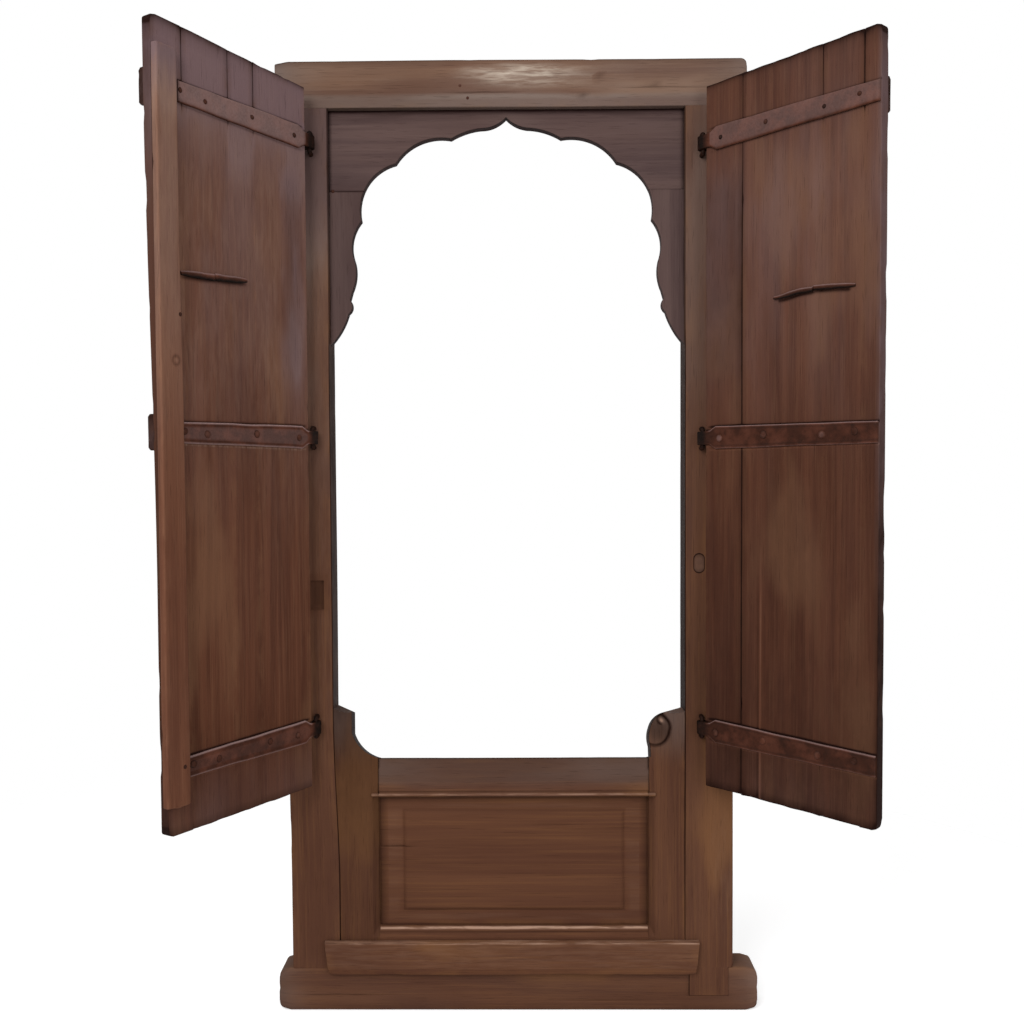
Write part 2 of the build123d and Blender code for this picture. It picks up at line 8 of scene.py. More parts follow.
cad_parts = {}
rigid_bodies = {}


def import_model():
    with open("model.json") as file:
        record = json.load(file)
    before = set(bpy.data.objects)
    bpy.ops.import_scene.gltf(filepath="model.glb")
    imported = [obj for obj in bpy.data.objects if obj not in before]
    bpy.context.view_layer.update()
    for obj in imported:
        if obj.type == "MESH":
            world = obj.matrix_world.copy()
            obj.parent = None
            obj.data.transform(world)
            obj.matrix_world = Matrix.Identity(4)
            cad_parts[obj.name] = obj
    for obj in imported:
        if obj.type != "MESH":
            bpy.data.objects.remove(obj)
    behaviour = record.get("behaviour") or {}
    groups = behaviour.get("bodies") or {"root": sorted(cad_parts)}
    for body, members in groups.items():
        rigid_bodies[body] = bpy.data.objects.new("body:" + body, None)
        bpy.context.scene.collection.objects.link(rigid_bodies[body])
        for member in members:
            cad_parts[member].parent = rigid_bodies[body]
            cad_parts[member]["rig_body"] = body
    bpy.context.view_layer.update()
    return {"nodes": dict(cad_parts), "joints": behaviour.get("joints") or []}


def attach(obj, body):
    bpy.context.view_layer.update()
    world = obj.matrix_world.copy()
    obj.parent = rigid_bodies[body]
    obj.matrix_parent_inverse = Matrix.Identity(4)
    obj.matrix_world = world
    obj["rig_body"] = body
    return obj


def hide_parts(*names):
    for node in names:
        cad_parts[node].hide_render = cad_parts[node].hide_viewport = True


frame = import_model()

bl_info = {
    "name": "Arched timber window",
    "version": (1, 0, 0),
    "blender": (4, 5, 0),
    "location": "3D View > Sidebar > Window",
    "description": "Dresses a cusped timber window frame and its plank leaves with worn wood and forged iron",
    "category": "Object",
}

MM = 0.001
X, Y, Z = 0, 1, 2
SIDES = {"left": -1, "right": 1}
# How near a point on a face is to it, and a length too short to divide by
ON_FACE = 1e-6
TINY = 1e-9
# Cells on each side of a drift's lattice, and the cell that the origin lies in
LATTICE = 32
LATTICE_START = 100.5
# Cut lines by an edge as shares of its radius, the closest that two lines lie, and steps across the grain
EDGE_CUTS = np.array([0, 0.27, 0.58, 1.0, 1.8])
CLOSEST_CUT = 0.15 * MM
STEP_ACROSS = 0.6
# Wear of timbers, with wavelengths across the grain and along it
EDGE_WEAR = 6 * MM
CHIP_WAVES = [0.03] * 3
CHIP_START = (0.4, 0.9)
ROUND_WAVES = (0.08, 0.2)
SWELL_WAVES = (0.07, 0.34)
RIPPLE_WAVES = (0.016, 0.12)
# Cut lines over a crack and its spread as shares of its width, and how much of it tapers at each end
CRACK_CUTS = (-1, -0.5, 0, 0.5, 1)
CRACK_TAPER = (0.3, 0.4)
CRACK_WANDER = 1.6 * MM
CRACK_SPREAD = 9


# Places and turns taken from the frame

def hinge_of(side):
    """Hinge point of a leaf and how far it stands open, from the frame's joint."""
    joint = next(j for j in frame["joints"] if j["name"] == f"{side}_leaf_hinge")
    return np.array(joint["pos_m"]), math.radians(-joint["range_deg"][0])


def side_of(body):
    """Which leaf a body is, or None for the fixed frame."""
    return body.split("_")[0] if body.endswith("_leaf") else None


def rotated(x, y, angle):
    """Places turned about the origin by an angle."""
    return x * math.cos(angle) - y * math.sin(angle), x * math.sin(angle) + y * math.cos(angle)


def hang(points, body):
    """Leaf points, drawn closed from the hinge's axis, turned to where the leaf stands.

    The left leaf's x is as drawn and the right one's mirrored; both turn about the axis by the open angle."""
    side = side_of(body)
    if side is None:
        return points
    sign = SIDES[side]
    pin, opened = hinge_of(side)
    across, through = rotated(-sign * points[:, X], points[:, Y], sign * opened)
    return np.stack([pin[X] + across, pin[Y] + through, points[:, Z]], 1)


def unhang(points, body):
    """The opposite of hang: points of the frame in the closed leaf's own axes."""
    side = side_of(body)
    if side is None:
        return points
    sign = SIDES[side]
    pin, opened = hinge_of(side)
    along, through = rotated(points[:, X] - pin[X], points[:, Y] - pin[Y], -sign * opened)
    return np.stack([-sign * along, through, points[:, Z]], 1)


def node_box(node):
    """Lowest and highest corner of a CAD node in its own body's axes."""
    mesh = frame["nodes"][node].data
    flat = np.zeros(len(mesh.vertices) * 3)
    mesh.vertices.foreach_get("co", flat)
    points = unhang(flat.reshape(-1, 3), body_of(node))
    return points.min(0), points.max(0)


def height_of(node):
    """Height of the middle of a CAD node's box."""
    low, high = node_box(node)
    return (low[Z] + high[Z]) / 2


def body_of(node):
    """The body that a CAD node rides on."""
    return frame["nodes"][node]["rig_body"]


# Surfaces

def smooth(low, high, value):
    """Cubic easing from 0 at low to 1 at high."""
    share = np.clip((value - low) / (high - low), 0, 1)
    return share * share * (3 - 2 * share)


def peak(value, middle, width):
    """1 at the middle, falling off on both sides as a bell curve of this width."""
    return np.exp(-((value - middle) / width) ** 2)


def fade(distance, reach):
    """1 at no distance, falling off exponentially over the reach."""
    return np.exp(-distance / reach)


def quarter(share):
    """Drop of a quarter round of radius 1 at a share of the way out to its edge."""
    return 1 - np.sqrt(1 - share ** 2)


def room(points, low, high, axis):
    """Distance of each point from the nearer of a block's two faces on an axis."""
    return np.minimum(points[:, axis] - low[axis], high[axis] - points[:, axis])


def on_front(points, low):
    """Which points lie on a block's front, its face of lowest Y."""
    return points[:, Y] < low[Y] + ON_FACE


def drift(points, wavelengths, seed):
    """Smooth random drift in -1 to 1: random values on a lattice of these wavelengths, eased in between."""
    table = np.random.default_rng(seed).uniform(-1, 1, (LATTICE, LATTICE, LATTICE))
    cell = points / np.asarray(wavelengths, float) + LATTICE_START
    low = np.floor(cell).astype(int)
    share = cell - low
    share = share * share * (3 - 2 * share)
    total = np.zeros(len(points))
    for corner in np.ndindex(2, 2, 2):
        index = (low + corner) % LATTICE
        weight = np.prod(np.where(corner, share, 1 - share), 1)
        total += table[index[:, 0], index[:, 1], index[:, 2]] * weight
    return total


def line_drift(values, wavelength, seed):
    """Smooth random drift along one line, of one wavelength."""
    stations = np.stack([values, values * 0, values * 0], 1)
    return drift(stations, (wavelength, 1, 1), seed)


def by_grain(grain, across, along):
    """Wavelengths or steps on the three axes: one along the grain, the other across it."""
    sizes = [across] * 3
    sizes[grain] = along
    return sizes


def cut_lines(low, high, step, ease, extra=()):
    """Cut lines over one side of a block: crowded within the eased edges, even between, and where asked."""
    near = ease * EDGE_CUTS
    count = max(2, int(round((high - low - 2 * near[-1]) / step)) + 1)
    even = np.linspace(low + near[-1], high - near[-1], count)
    lines = np.concatenate([low + near, even, high - near, np.asarray(extra, float)])
    lines = np.unique(np.round(np.clip(lines, low, high), 6))
    keep = np.concatenate([[True], np.diff(lines) > CLOSEST_CUT])
    lines = lines[keep]
    lines[-1] = high
    return lines


def block_skin(lines):
    """Closed skin of a block: six grids on the cut lines of its three sides, welded where they meet.

    Returns the points, with lattice coordinates as they are in the lines, and the quads facing out."""
    shape = tuple(len(line) for line in lines)
    ids = np.arange(np.prod(shape)).reshape(shape)

    def sheet(grid, turned):
        quads = np.stack([grid[:-1, :-1], grid[1:, :-1], grid[1:, 1:], grid[:-1, 1:]], -1).reshape(-1, 4)
        return quads[:, ::-1] if turned else quads

    quads = np.concatenate([
        sheet(ids[0], True), sheet(ids[-1], False),
        sheet(ids[:, 0], False), sheet(ids[:, -1], True),
        sheet(ids[:, :, 0], True), sheet(ids[:, :, -1], False),
    ])
    used, quads = np.unique(quads, return_inverse=True)
    index = np.unravel_index(used, shape)
    points = np.stack([line[i] for line, i in zip(lines, index)], 1)
    return points, quads.reshape(-1, 4)


def eased(points, low, high, radius):
    """Rounds a block's edges: each point is put at the radius from the block's core shrunk by that radius."""
    radius = np.minimum(np.asarray(radius), 0.49 * np.min(high - low))[:, None]
    core = np.clip(points, low + radius, high - radius)
    away = points - core
    length = np.linalg.norm(away, axis=1, keepdims=True)
    return np.where(length > TINY, core + away / np.maximum(length, TINY) * radius, points)


def edge_share(points, low, high, reach):
    """1 on a block's edges, fading to 0 over the reach: from the second smallest distance to its sides."""
    inside = np.minimum(points - low, high - points)
    return fade(np.sort(inside, 1)[:, 1], reach)


def ruled_skin(near, far, depths, width, steps, ease, along, seed):
    """A board between two lines: a block skin carried onto straight runs from the near line to the far one.

    The block's sides are the station on the lines, on the axis named along, the depth, and the distance from
    the near line. Its long edges are rounded by a radius that drifts. The steps are across and through."""
    lines = [cut_lines(0.0, width, steps[0], ease), cut_lines(*depths, steps[1], ease),
             np.arange(len(near), dtype=float)]
    waves = (0.05, 0.05, 9)
    if along == X:
        lines, waves = lines[::-1], waves[::-1]
    rest, quads = block_skin(lines)
    station, through, from_near = rest[:, along].astype(int), rest[:, Y], rest[:, Z - along]
    inset = np.minimum(through - depths[0], depths[1] - through)
    radius = ease * (1 + 0.5 * drift(rest, waves, seed))
    corner = np.minimum(np.stack([inset, np.minimum(from_near, width - from_near)], 1), radius[:, None])
    away = radius[:, None] - corner
    length = np.maximum(np.linalg.norm(away, axis=1), TINY)
    pull = np.maximum(length - radius, 0)[:, None] * away / length[:, None]
    depth = through + pull[:, 0] * np.where(through < sum(depths) / 2, 1, -1)
    place = from_near + pull[:, 1] * np.where(from_near < width / 2, 1, -1)
    share = (place / width)[:, None]
    flat = near[station] * (1 - share) + far[station] * share
    return {"points": np.stack([flat[:, 0], depth, flat[:, 1]], 1), "quads": quads, "rest": rest,
            "station": station, "from_near": from_near, "inset": inset}


def swelled(points, share, waves, seed):
    """Points moved on each axis by a share of the timber's swell, times a drift of these wavelengths."""
    swell = share * bpy.context.scene.window_wear.swell
    return points + swell * np.stack([drift(points, waves, seed + axis) for axis in (X, Y, Z)], 1)


def ring_quads(ids, turned=False):
    """Quads from each ring of points to the next; ids holds the points' numbers, a row for each ring."""
    around = np.roll(ids, -1, 1)
    corners = [ids[:-1], around[:-1], around[1:], ids[1:]]
    if turned:
        corners = [ids[:-1], ids[1:], around[1:], around[:-1]]
    return np.stack(corners, -1).reshape(-1, 4)


def fan(ring, middle, turned=False):
    """Triangles from a middle point to each two neighbours on a ring of points."""
    pair = [ring, np.roll(ring, -1)]
    return np.stack([np.full(len(ring), middle), *(pair[::-1] if turned else pair)], 1)


def tube_skin(path, radius, sides=12, flat=1.0, up=(0, 0, 1)):
    """A bar along a path: a ring of points square to the path at each of its points, closed at both ends.

    The ring is an ellipse: its half width is the radius along the up direction and flat times that across."""
    path = np.asarray(path, float)
    radius = np.broadcast_to(np.asarray(radius, float), (len(path),))
    run = np.gradient(path, axis=0)
    run /= np.linalg.norm(run, axis=1, keepdims=True)
    side = np.cross(np.broadcast_to(up, run.shape), run)
    side /= np.linalg.norm(side, axis=1, keepdims=True)
    lift = np.cross(run, side)
    turn = np.linspace(0, 2 * math.pi, sides, endpoint=False)
    ring = np.cos(turn)[None, :, None] * side[:, None] * flat + np.sin(turn)[None, :, None] * lift[:, None]
    points = (path[:, None] + ring * radius[:, None, None]).reshape(-1, 3)
    ids = np.arange(len(points)).reshape(len(path), sides)
    caps = np.concatenate([fan(ids[0], ids.size, True), fan(ids[-1], ids.size + 1)])
    return np.concatenate([points, path[:1], path[-1:]]), ring_quads(ids), caps


def arc_points(start, through, end, count):
    """Points along the circle's arc from start through a middle point to the end, in a plane."""
    (ax, ay), (bx, by), (cx, cy) = start, through, end
    d = 2 * (ax * (by - cy) + bx * (cy - ay) + cx * (ay - by))
    a2, b2, c2 = ax * ax + ay * ay, bx * bx + by * by, cx * cx + cy * cy
    ux = (a2 * (by - cy) + b2 * (cy - ay) + c2 * (ay - by)) / d
    uy = (a2 * (cx - bx) + b2 * (ax - cx) + c2 * (bx - ax)) / d
    angles = [math.atan2(y - uy, x - ux) for x, y in (start, through, end)]
    sweep = (angles[2] - angles[0]) % (2 * math.pi)
    if (angles[1] - angles[0]) % (2 * math.pi) > sweep:
        sweep -= 2 * math.pi
    turn = angles[0] + np.linspace(0, sweep, count)
    radius = math.hypot(ax - ux, ay - uy)
    return np.stack([ux + radius * np.cos(turn), uy + radius * np.sin(turn)], 1)


# Pieces

def add_mesh(name, points, quads, body, triangles=None, attributes=None):
    """Puts points and faces into a new mesh object that rides on a body, turned with its leaf."""
    turned = side_of(body) == "right"
    faces = [quads[:, ::-1] if turned else quads]
    if triangles is not None and len(triangles):
        faces.append(triangles[:, ::-1] if turned else triangles)
    corners = np.concatenate([part.ravel() for part in faces])
    sizes = np.concatenate([np.full(len(part), part.shape[1]) for part in faces])
    starts = np.cumsum(sizes) - sizes
    mesh = bpy.data.meshes.new(name)
    mesh.vertices.add(len(points))
    mesh.vertices.foreach_set("co", np.ascontiguousarray(hang(points, body), np.float32).ravel())
    mesh.loops.add(len(corners))
    mesh.loops.foreach_set("vertex_index", corners.astype(np.int32))
    mesh.polygons.add(len(starts))
    mesh.polygons.foreach_set("loop_start", starts.astype(np.int32))
    mesh.polygons.foreach_set("use_smooth", np.ones(len(starts), bool))
    mesh.update(calc_edges=True)
    mesh.validate()
    for key, values in (attributes or {}).items():
        kind, field = ("FLOAT_VECTOR", "vector") if values.ndim == 2 else ("FLOAT", "value")
        layer = mesh.attributes.new(key, kind, "POINT")
        layer.data.foreach_set(field, np.ascontiguousarray(values, np.float32).ravel())
    piece = bpy.data.objects.new(name, mesh)
    bpy.context.scene.collection.objects.link(piece)
    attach(piece, body)
    return piece


def dress(piece, finish, node=None):
    """Gives a piece its finish, and hides the CAD node that it stands for."""
    piece.data.materials.append(finish_named(finish))
    if node is not None:
        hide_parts(node)
    return piece


def board_attributes(points, low, high, grain, seed, tone, patina, edge):
    """What the timber finishes read: place in the board with the grain last, tone, patina and edge wear."""
    order = [axis for axis in (X, Y, Z) if axis != grain] + [grain]
    offset = np.random.default_rng(seed + 900).uniform(-40, 40, 3)
    place = (points - (low + high) / 2)[:, order] + offset
    return {"board": place, "tone": tone, "patina": patina, "edge": edge}


def zeros(points):
    """No tone or patina of its own."""
    return np.zeros(len(points))


def crack(across, at, start, end, width, depth):
    """One drying crack in a block's front, along the grain at a place across it."""
    return {"across": across, "at": at, "start": start, "end": end, "width": width, "depth": depth}


def open_cracks(points, rest, low, grain, cracks, seed):
    """Sinks each crack: a V across the grain whose depth tapers to both ends, and that wanders a little."""
    along = rest[:, grain]
    for number, one in enumerate(cracks):
        start, end, width = one["start"], one["end"], one["width"]
        tapers = [share * (end - start) for share in CRACK_TAPER]
        reach = smooth(start, start + tapers[0], along) * (1 - smooth(end - tapers[1], end, along))
        off = np.abs(rest[:, one["across"]] - one["at"])
        wander = CRACK_WANDER * line_drift(along, 0.07, seed + number)
        points[:, one["across"]] += wander * peak(off, 0, CRACK_SPREAD * width) * (reach > 0)
        points[:, Y] += one["depth"] * np.clip(1 - off / width, 0, 1) * reach * on_front(rest, low)
    return points


def timber(node, grain, finish, seed, ease=2.5 * MM, step=16 * MM, shape=None, extra=None, cracks=(),
           tone=zeros, patina=zeros, rough=1.0, tuck=(0, 0), whole=None, figure=1.0):
    """A worn timber that stands for a CAD block.

    A block skin on the node's box, its edges rounded by a radius that drifts and chips, its faces swelled
    by a drift stretched along the grain, cracks sunk into it, then shaped by the piece's own function.
    An end that butts on another timber is tucked into it, so that its rounding doesn't show as a groove.
    The figure is the board's own, or runs on over the boards of the whole that is named by low, high and
    seed; a figure below 1 is broader."""
    wear = bpy.context.scene.window_wear
    low, high = node_box(node)
    low[grain] -= tuck[0] * ease
    high[grain] += tuck[1] * ease
    extra = {axis: list((extra or {}).get(axis, ())) for axis in (X, Y, Z)}
    for one in cracks:
        extra[one["across"]] += [one["at"] + one["width"] * share for share in CRACK_CUTS]
    steps = by_grain(grain, step * STEP_ACROSS, step)
    lines = [cut_lines(low[axis], high[axis], steps[axis], ease, extra[axis]) for axis in (X, Y, Z)]
    rest, quads = block_skin(lines)
    edge = edge_share(rest, low, high, EDGE_WEAR)
    chips = smooth(*CHIP_START, drift(rest, CHIP_WAVES, seed + 1)) * wear.chip_depth
    radius = ease * (1 + 0.45 * drift(rest, by_grain(grain, *ROUND_WAVES), seed)) + chips * rough
    points = eased(rest, low, high, radius)
    for axis in (X, Y, Z):
        sway = drift(rest, by_grain(grain, *SWELL_WAVES), seed + 11 + axis)
        ripple = drift(rest, by_grain(grain, *RIPPLE_WAVES), seed + 21 + axis)
        points[:, axis] += wear.swell * rough * (sway + 0.35 * ripple)
    points = open_cracks(points, rest, low, grain, cracks, seed + 31)
    if shape is not None:
        points = shape(points, rest)
    board_low, board_high, board_seed = whole or (low, high, seed)
    values = board_attributes(rest, board_low, board_high, grain, board_seed, tone(rest), patina(rest), edge)
    values["board"] = values["board"] * figure
    piece = add_mesh(f"{node}_timber", points, quads, body_of(node), attributes=values)
    return dress(piece, finish, node)


# Shader writing

class Value:
    """A shader value in a Python sum: every operation on it adds one Math node to its look."""

    def __init__(self, look, socket):
        self.look = look
        self.socket = socket

    def math(self, operation, first, second):
        return self.look.add("ShaderNodeMath", {"operation": operation}, {0: first, 1: second})

    def __add__(self, other):
        return self.math("ADD", self, other)

    __radd__ = __add__

    def __mul__(self, other):
        return self.math("MULTIPLY", self, other)

    __rmul__ = __mul__

    def __sub__(self, other):
        return self.math("SUBTRACT", self, other)

    def __rsub__(self, other):
        return self.math("SUBTRACT", other, self)

    def clamp(self):
        return self.look.add("ShaderNodeClamp", {}, {0: self})

    def between(self, low, high):
        """Eased share of the way from low to high."""
        return self.look.add("ShaderNodeMapRange", {"interpolation_type": "SMOOTHSTEP"},
                             {0: self, 1: low, 2: high, 3: 0.0, 4: 1.0})


class Look:
    """The nodes of a material or world, written as expressions; add() makes any node."""

    def __init__(self, owner, output="ShaderNodeOutputMaterial"):
        owner.use_nodes = True
        self.owner = owner
        self.tree = owner.node_tree
        self.tree.nodes.clear()
        self.output = self.tree.nodes.new(output)

    def add(self, kind, settings, sockets, out=0):
        node = self.tree.nodes.new(kind)
        for key, value in settings.items():
            setattr(node, key, value)
        for key, value in sockets.items():
            if isinstance(value, Value):
                self.tree.links.new(value.socket, node.inputs[key])
            else:
                node.inputs[key].default_value = value
        return Value(self, node.outputs[out])

    def attribute(self, name, out="Fac"):
        return self.add("ShaderNodeAttribute", {"attribute_name": name}, {}, out)

    def scaled(self, vector, scales):
        return self.add("ShaderNodeVectorMath", {"operation": "MULTIPLY"}, {0: vector, 1: scales})

    def noise(self, vector, scales, detail=3.0, roughness=0.55, distortion=0.0):
        return self.add("ShaderNodeTexNoise", {}, {
            "Vector": self.scaled(vector, scales), "Scale": 1.0, "Detail": detail,
            "Roughness": roughness, "Distortion": distortion})

    def mix(self, share, first, second, blend="MIX"):
        return self.add("ShaderNodeMix", {"data_type": "RGBA", "blend_type": blend},
                        {0: share, 6: first, 7: second}, 2)

    def surface(self, colour, roughness, height, distance, metallic=None, constants=None):
        bump = self.add("ShaderNodeBump", {}, {"Strength": 1.0, "Distance": distance, "Height": height})
        sockets = {"Base Color": colour, "Roughness": roughness, "Normal": bump, **(constants or {})}
        if metallic is not None:
            sockets["Metallic"] = metallic
        return self.show(self.add("ShaderNodeBsdfPrincipled", {}, sockets))

    def seen(self):
        """1 for the rays that show the background: from the camera, off gloss and through glass."""
        eye, gloss, glass = (self.add("ShaderNodeLightPath", {}, {}, f"Is {kind} Ray")
                             for kind in ("Camera", "Glossy", "Transmission"))
        return (eye + gloss + glass).clamp()

    def show(self, shader):
        """Sends a shader to the output."""
        self.tree.links.new(shader.socket, self.output.inputs["Surface"])
        return self.owner


def rgba(colour):
    """A colour property with its alpha."""
    return (*colour, 1.0)


def timber_look(name, colours):
    """Old waxed timber: fibres, figure and clouds in the board's own grain, greyed by its patina.

    Tone above 0 pales the wood and below 0 darkens it, for stains, painted highlights and painted shade;
    edges are rubbed lighter in patches.
    A patina above 1 lies over the grey as a violet haze."""
    look = Look(bpy.data.materials.new(name))
    board = look.attribute("board", "Vector")
    tone = look.attribute("tone")
    patina = look.attribute("patina")
    edge = look.attribute("edge")
    fibre = look.noise(board, (330, 330, 6), 3, 0.6)
    figure = look.noise(board, (34, 34, 1.1), 4, 0.6, 0.7)
    cloud = look.noise(board, (7, 7, 2.4), 3, 0.5)
    blotch = look.noise(board, (34, 34, 16), 4, 0.62)
    pore = look.noise(board, (620, 620, 22), 1, 0.5)
    streak = look.noise(board, (130, 130, 17), 3, 0.6, 0.4)
    colour = look.mix(figure.between(0.3, 0.66), rgba(colours.dark), rgba(colours.mid))
    colour = look.mix(fibre.between(0.44, 0.8) * 0.4, colour, rgba(colours.light))
    colour = look.mix(cloud.between(0.5, 0.7) * 0.75, colour, rgba(colours.dark))
    colour = look.mix(cloud.between(0.46, 0.3) * 0.6, colour, rgba(colours.light))
    stain = look.noise(board, (15, 15, 3.2), 3, 0.5)
    grey = (patina * (0.35 + 0.6 * blotch + 0.7 * stain.between(0.38, 0.64))).clamp()
    colour = look.mix(grey, colour, rgba(colours.grey))
    colour = look.mix(((patina - 1.0) * (0.7 + 0.6 * stain)).clamp(), colour, rgba(colours.haze))
    rubbed = (edge * blotch.between(0.42, 0.66) * 0.45).clamp()
    colour = look.mix(rubbed, colour, rgba(colours.light))
    paled = (tone * (0.35 + 1.3 * streak.between(0.36, 0.68))).clamp()
    colour = look.mix(paled, colour, rgba(colours.worn))
    colour = look.mix(((0.0 - tone) * (0.6 + 0.8 * blotch)).clamp(), colour, rgba(colours.deep))
    holes = pore.between(0.63, 0.76)
    colour = look.mix(holes * 0.22, colour, rgba(colours.deep))
    height = fibre * 0.4 + figure * 0.4 + blotch * 0.5 + streak * 0.3 - holes * 0.3
    roughness = 0.45 + 0.22 * cloud + 0.12 * blotch + 0.1 * grey
    return look.surface(colour, roughness, height, 0.0009, constants={"Specular IOR Level": 0.03})


def iron_look(name, colours):
    """Forged iron under old wax: brown scale with rust in patches, rubbed brighter along its edges.

    Tone above 0 pales it, as a painted highlight on a lit arris, and below 0 blackens it, as painted shade
    and where soot and grease gather."""
    look = Look(bpy.data.materials.new(name))
    place = look.add("ShaderNodeTexCoord", {}, {}, "Object")
    edge = look.attribute("edge")
    tone = look.attribute("tone")
    rust = look.noise(place, (30, 30, 30), 5, 0.6)
    pits = look.noise(place, (240, 240, 240), 3, 0.6)
    dents = look.noise(place, (80, 80, 80), 2, 0.5)
    colour = look.mix(rust.between(0.4, 0.58), rgba(colours.dark), rgba(colours.mid))
    colour = look.mix(rust.between(0.52, 0.7) * 0.7, colour, rgba(colours.grey))
    colour = look.mix(dents.between(0.52, 0.72) * 0.3, colour, rgba(colours.deep))
    colour = look.mix(pits.between(0.55, 0.78) * 0.35, colour, rgba(colours.deep))
    rubbed = (edge * dents.between(0.36, 0.62) * 0.6).clamp()
    colour = look.mix(rubbed, colour, rgba(colours.light))
    colour = look.mix((tone * (0.6 + 0.7 * pits)).clamp(), colour, rgba(colours.worn))
    colour = look.mix(((0.0 - tone) * (0.6 + 0.8 * dents)).clamp(), colour, rgba(colours.deep))
    metallic = 0.05 + 0.25 * rubbed
    roughness = 0.55 - 0.12 * rubbed + 0.16 * pits
    height = dents * 0.7 + pits * 0.3
    return look.surface(colour, roughness, height, 0.0014, metallic, {"Specular IOR Level": 0.08})


def finish_named(name):
    """The finish for a record slot, made when it is first asked for."""
    found = bpy.data.materials.get(f"{name}_finish")
    if found is not None:
        return found
    colours = getattr(bpy.context.scene.window_colours, name)
    make = iron_look if name == "forged_iron" else timber_look
    return make(f"{name}_finish", colours)


# Settings

# Positive tone pales to the worn colour, for real wear and for painted highlights; negative tone darkens to
# the deep colour, for real dark marks and for painted shade
COLOUR_NAMES = ("mid", "dark", "light", "grey", "worn", "deep", "haze")
FINISH_COLOURS = {
    "frame_timber": ((87, 56, 40), (73, 45, 33), (111, 75, 47), (100, 81, 73), (158, 126, 107), (28, 13, 8),
                     (91, 71, 70)),
    "leaf_timber": ((92, 56, 40), (71, 41, 29), (111, 77, 56), (110, 87, 84), (142, 113, 97), (28, 13, 9),
                    (107, 86, 89)),
    "arch_timber": ((82, 64, 60), (65, 49, 47), (95, 77, 72), (87, 73, 74), (122, 100, 90), (30, 15, 14),
                    (86, 70, 72)),
    "header_timber": ((104, 76, 59), (84, 57, 45), (124, 97, 79), (114, 98, 90), (176, 162, 148),
                      (34, 18, 12), (94, 71, 64)),
    "strip_timber": ((100, 63, 46), (82, 49, 36), (119, 83, 63), (118, 92, 82), (150, 120, 98), (32, 16, 10),
                     (104, 84, 85)),
    "forged_iron": ((75, 41, 29), (57, 30, 20), (112, 77, 66), (88, 51, 38), (147, 122, 119), (16, 7, 4)),
}
FINISH_USES = {
    "frame_timber": "Posts, sill and dado",
    "leaf_timber": "Planks and battens",
    "arch_timber": "Cusped boards",
    "header_timber": "Header beam",
    "strip_timber": "Cover strip of the left leaf",
    "forged_iron": "Straps, staples, pins and nails",
}


def linear(red, green, blue):
    """Display colour in 0 to 255 as linear light."""
    shares = [value / 255 for value in (red, green, blue)]
    return tuple(s / 12.92 if s <= 0.04045 else ((s + 0.055) / 1.055) ** 2.4 for s in shares)


def finish_group(slot):
    """A property group with the colours of one finish, in linear light."""
    notes = {}
    for name, colour in zip(COLOUR_NAMES, FINISH_COLOURS[slot]):
        notes[name] = bpy.props.FloatVectorProperty(
            name=name.capitalize(), description=f"{name.capitalize()} colour of this finish", size=3,
            subtype="COLOR", min=0.0, max=1.0, default=linear(*colour))
    title = "Window" + slot.title().replace("_", "")
    return type(title, (bpy.types.PropertyGroup,), {"__annotations__": notes})


FINISH_GROUPS = {slot: finish_group(slot) for slot in FINISH_COLOURS}


class WindowColours(bpy.types.PropertyGroup):
    """Colours of every finish, by the record's slot."""
    __annotations__ = {
        slot: bpy.props.PointerProperty(name=slot.replace("_", " ").capitalize(), description=use, type=group)
        for (slot, use), group in zip(FINISH_USES.items(), FINISH_GROUPS.values())}


class WindowWear(bpy.types.PropertyGroup):
    """How worn the timber and ironwork are."""
    swell: bpy.props.FloatProperty(name="Swell", description="How far timber faces have swelled and warped",
                                   default=0.6 * MM, min=0.0, unit="LENGTH")
    chip_depth: bpy.props.FloatProperty(name="Chips", description="Extra rounding where edges are chipped",
                                        default=4 * MM, min=0.0, unit="LENGTH")
    hammer: bpy.props.FloatProperty(name="Hammer marks", description="Unevenness of the forged iron",
                                    default=0.7 * MM, min=0.0, unit="LENGTH")


class WindowFixings(bpy.types.PropertyGroup):
    """Sizes of nails."""
    strap_nail: bpy.props.FloatProperty(name="Strap nail", description="Radius of a strap nail's domed head",
                                        default=7.5 * MM, min=0.0, unit="LENGTH")
    small_nail: bpy.props.FloatProperty(name="Small nail", description="Radius of a small nail's head",
                                        default=3.6 * MM, min=0.0, unit="LENGTH")


class WindowStage(bpy.types.PropertyGroup):
    """Camera and light."""
    lens: bpy.props.FloatProperty(name="Lens", description="Focal length", default=37.26, min=1.0,
                                  unit="CAMERA")
    camera_place: bpy.props.FloatVectorProperty(
        name="Camera place", description="Where the camera stands", size=3, subtype="TRANSLATION",
        default=(0.0262, -2.1446, 1.0863))
    camera_turn: bpy.props.FloatVectorProperty(
        name="Camera turn", description="Tilt up, turn to the left and roll to the left", size=3,
        subtype="EULER", default=tuple(math.radians(a) for a in (-2.047, 0.484, -0.281)))
    key_power: bpy.props.FloatProperty(name="Key", description="Power of the soft light from the upper left",
                                       default=95.0, min=0.0, unit="POWER")
    fill_power: bpy.props.FloatProperty(name="Fill", description="Power of the soft light from the right",
                                        default=45.0, min=0.0, unit="POWER")
    sky: bpy.props.FloatProperty(name="Sky", description="Strength of the even light from all round",
                                 default=0.55, min=0.0, subtype="FACTOR")


# Frame timbers

